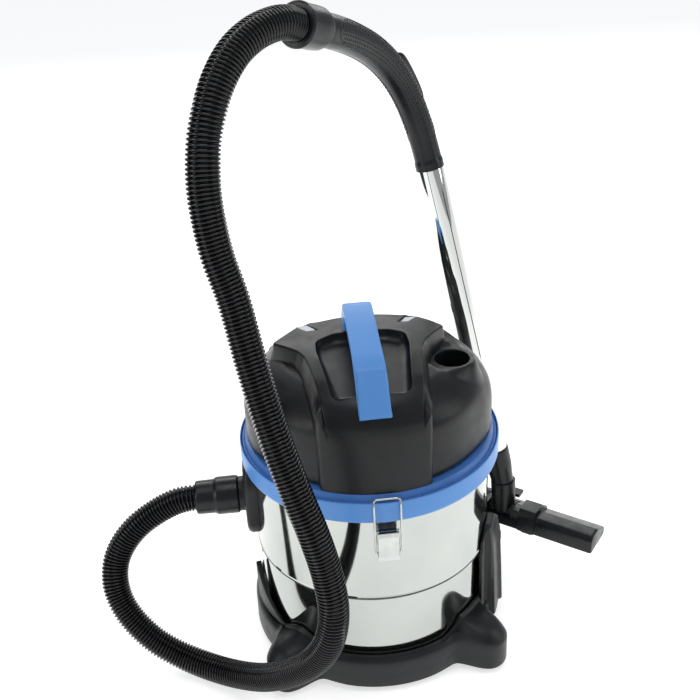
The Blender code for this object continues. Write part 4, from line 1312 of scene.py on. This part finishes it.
def nozzle_place():
    n = Vector((0, 0, 1)).cross(NOZZLE_U)
    return Matrix.Translation(NOZZLE_AT) @ Matrix((NOZZLE_U, n, Vector((0, 0, 1)))).transposed().to_4x4()


def build_nozzle():
    place = nozzle_place()
    across = place @ SIDEWAYS
    low, high = NOZZLE_LOW, NOZZLE_HIGH
    section = round_loop([
        (NOZZLE_BACK, low + 0.002, 0.003), (NOZZLE_FRONT, low + 0.002, 0.004),
        (NOZZLE_FRONT, high - 0.017, 0.004),
        (NOZZLE_BACK + 0.024, high, 0.005), (NOZZLE_BACK + 0.006, high, 0.003),
        (NOZZLE_BACK, high - 0.007, 0.004),
    ], 4)
    rows = []
    for u, share in ((-0.144, 0.9), (-0.1435, 0.95), (-0.142, 0.985), (-0.139, 1.0), (0.139, 1.0),
                     (0.142, 0.985), (0.1435, 0.95), (0.144, 0.9)):
        middle = (0.005, -0.002)
        rows.append([(middle[0] + (y - middle[0]) * share, middle[1] + (z - middle[1]) * share, u) for y,
                     z in section])
    head = loft(rows)
    head.transform(across)
    hump = round_loop([
        (NOZZLE_BACK - 0.0008, low + 0.002, 0.002), (NOZZLE_FRONT - 0.002, low + 0.002, 0.002),
        (NOZZLE_FRONT - 0.004, high - 0.01, 0.004), (0.008, high + 0.0068, 0.0015),
        (-0.016, high + 0.0068, 0.0015),
        (NOZZLE_BACK - 0.0008, high - 0.001, 0.002),
    ], 3)
    for where in (-ROLLER_U, ROLLER_U):
        head = carve(head, prism(hump, where - 0.0125, where + 0.0125, across), "UNION")
        well = lathe([(0, where - 0.0095), (ROLLER_R + 0.001, where - 0.0095),
                      (ROLLER_R + 0.001, where + 0.0095), (0, where + 0.0095)], 40, closed=False)
        well = aimed(well, (0, -0.013, low + 0.004), (1, 0, 0))
        well.transform(place)
        head = carve(head, well)
    socket = aimed(lathe([(0, -0.0196), (0.0146, -0.0196), (0.0146, 0.0196), (0, 0.0196)], 48, closed=False),
                   NOZZLE_AT, NOZZLE_U)
    head = carve(head, socket)
    head = carve(head, block((-0.0196, -0.026, -0.001), (0.0196, 0.02, 0.03), place))
    head = carve(head, block((-0.126, 0.019, -0.02), (0.126, 0.027, -0.006), place))
    add("nozzle_body", head, satin_black(), "floor_head", "nozzle_head", sharp=30)

    cuff_low = WAND_LOW - WAND_WAY * 0.062
    barrel = aimed(lathe(rounded([(0, -0.019), (0.014, -0.019, 0.001), (0.014, 0.019, 0.001), (0, 0.019)]),
                         48, closed=False), NOZZLE_AT, NOZZLE_U)
    rise = cuff_low - NOZZLE_AT
    stalk = aimed(lathe([(0, 0), (0.0172, 0), (0.018, rise.length + 0.006), (0, rise.length + 0.006)], 48,
                        closed=False), NOZZLE_AT, rise)
    cuff = rounded(mm([
        (0, 0.3), (18.6, 0.3, 0.8), (19, 3, 1), (18.8, 27, 2), (16.6, 48, 10), (16.2, 56, 1),
        (15, 57.5, 1), (15, 65, 4), (0, 69),
    ]))
    cuff = aimed(lathe(cuff, 56, closed=False), WAND_LOW, -WAND_WAY)
    neck = carve(carve(barrel, stalk, "UNION"), cuff, "UNION")
    add("nozzle_elbow", neck, satin_black(), "root", "nozzle_neck", sharp=34)

    for name, where in (("left", -ROLLER_U), ("right", ROLLER_U)):
        at = place @ Vector((where, -0.013, low + 0.004))
        wheel = rounded([
            (0.0021, -0.0085), (0.008, -0.0085, 0.0005), (ROLLER_R, -0.0075, 0.001),
            (ROLLER_R, 0.0075, 0.001), (0.008, 0.0085, 0.0005), (0.0021, 0.0085),
        ])
        add(f"roller_{name}_tyre", aimed(lathe(wheel, 48), at, NOZZLE_U), rubber(),
            f"roller_{name}", f"nozzle_roller_{name}")
        refinish(f"roller_pin_{name}", bare_steel(), 0.0003)
    refinish("sole_plate", plated(), 0.0003)
    refinish("brush_strip", bristle())
    refinish("nozzle_pedal", satin_black(), 0.0005)


build_camera()
build_hose()
build_hose_ends()
build_grip()
build_slider()
build_wand()
build_tank()
build_inlet()
build_latches()
build_ring()
build_head()
build_handle()
build_rear()
build_inside()
build_base()
build_casters()
build_nozzle()
build_stage()

bpy.context.view_layer.update()
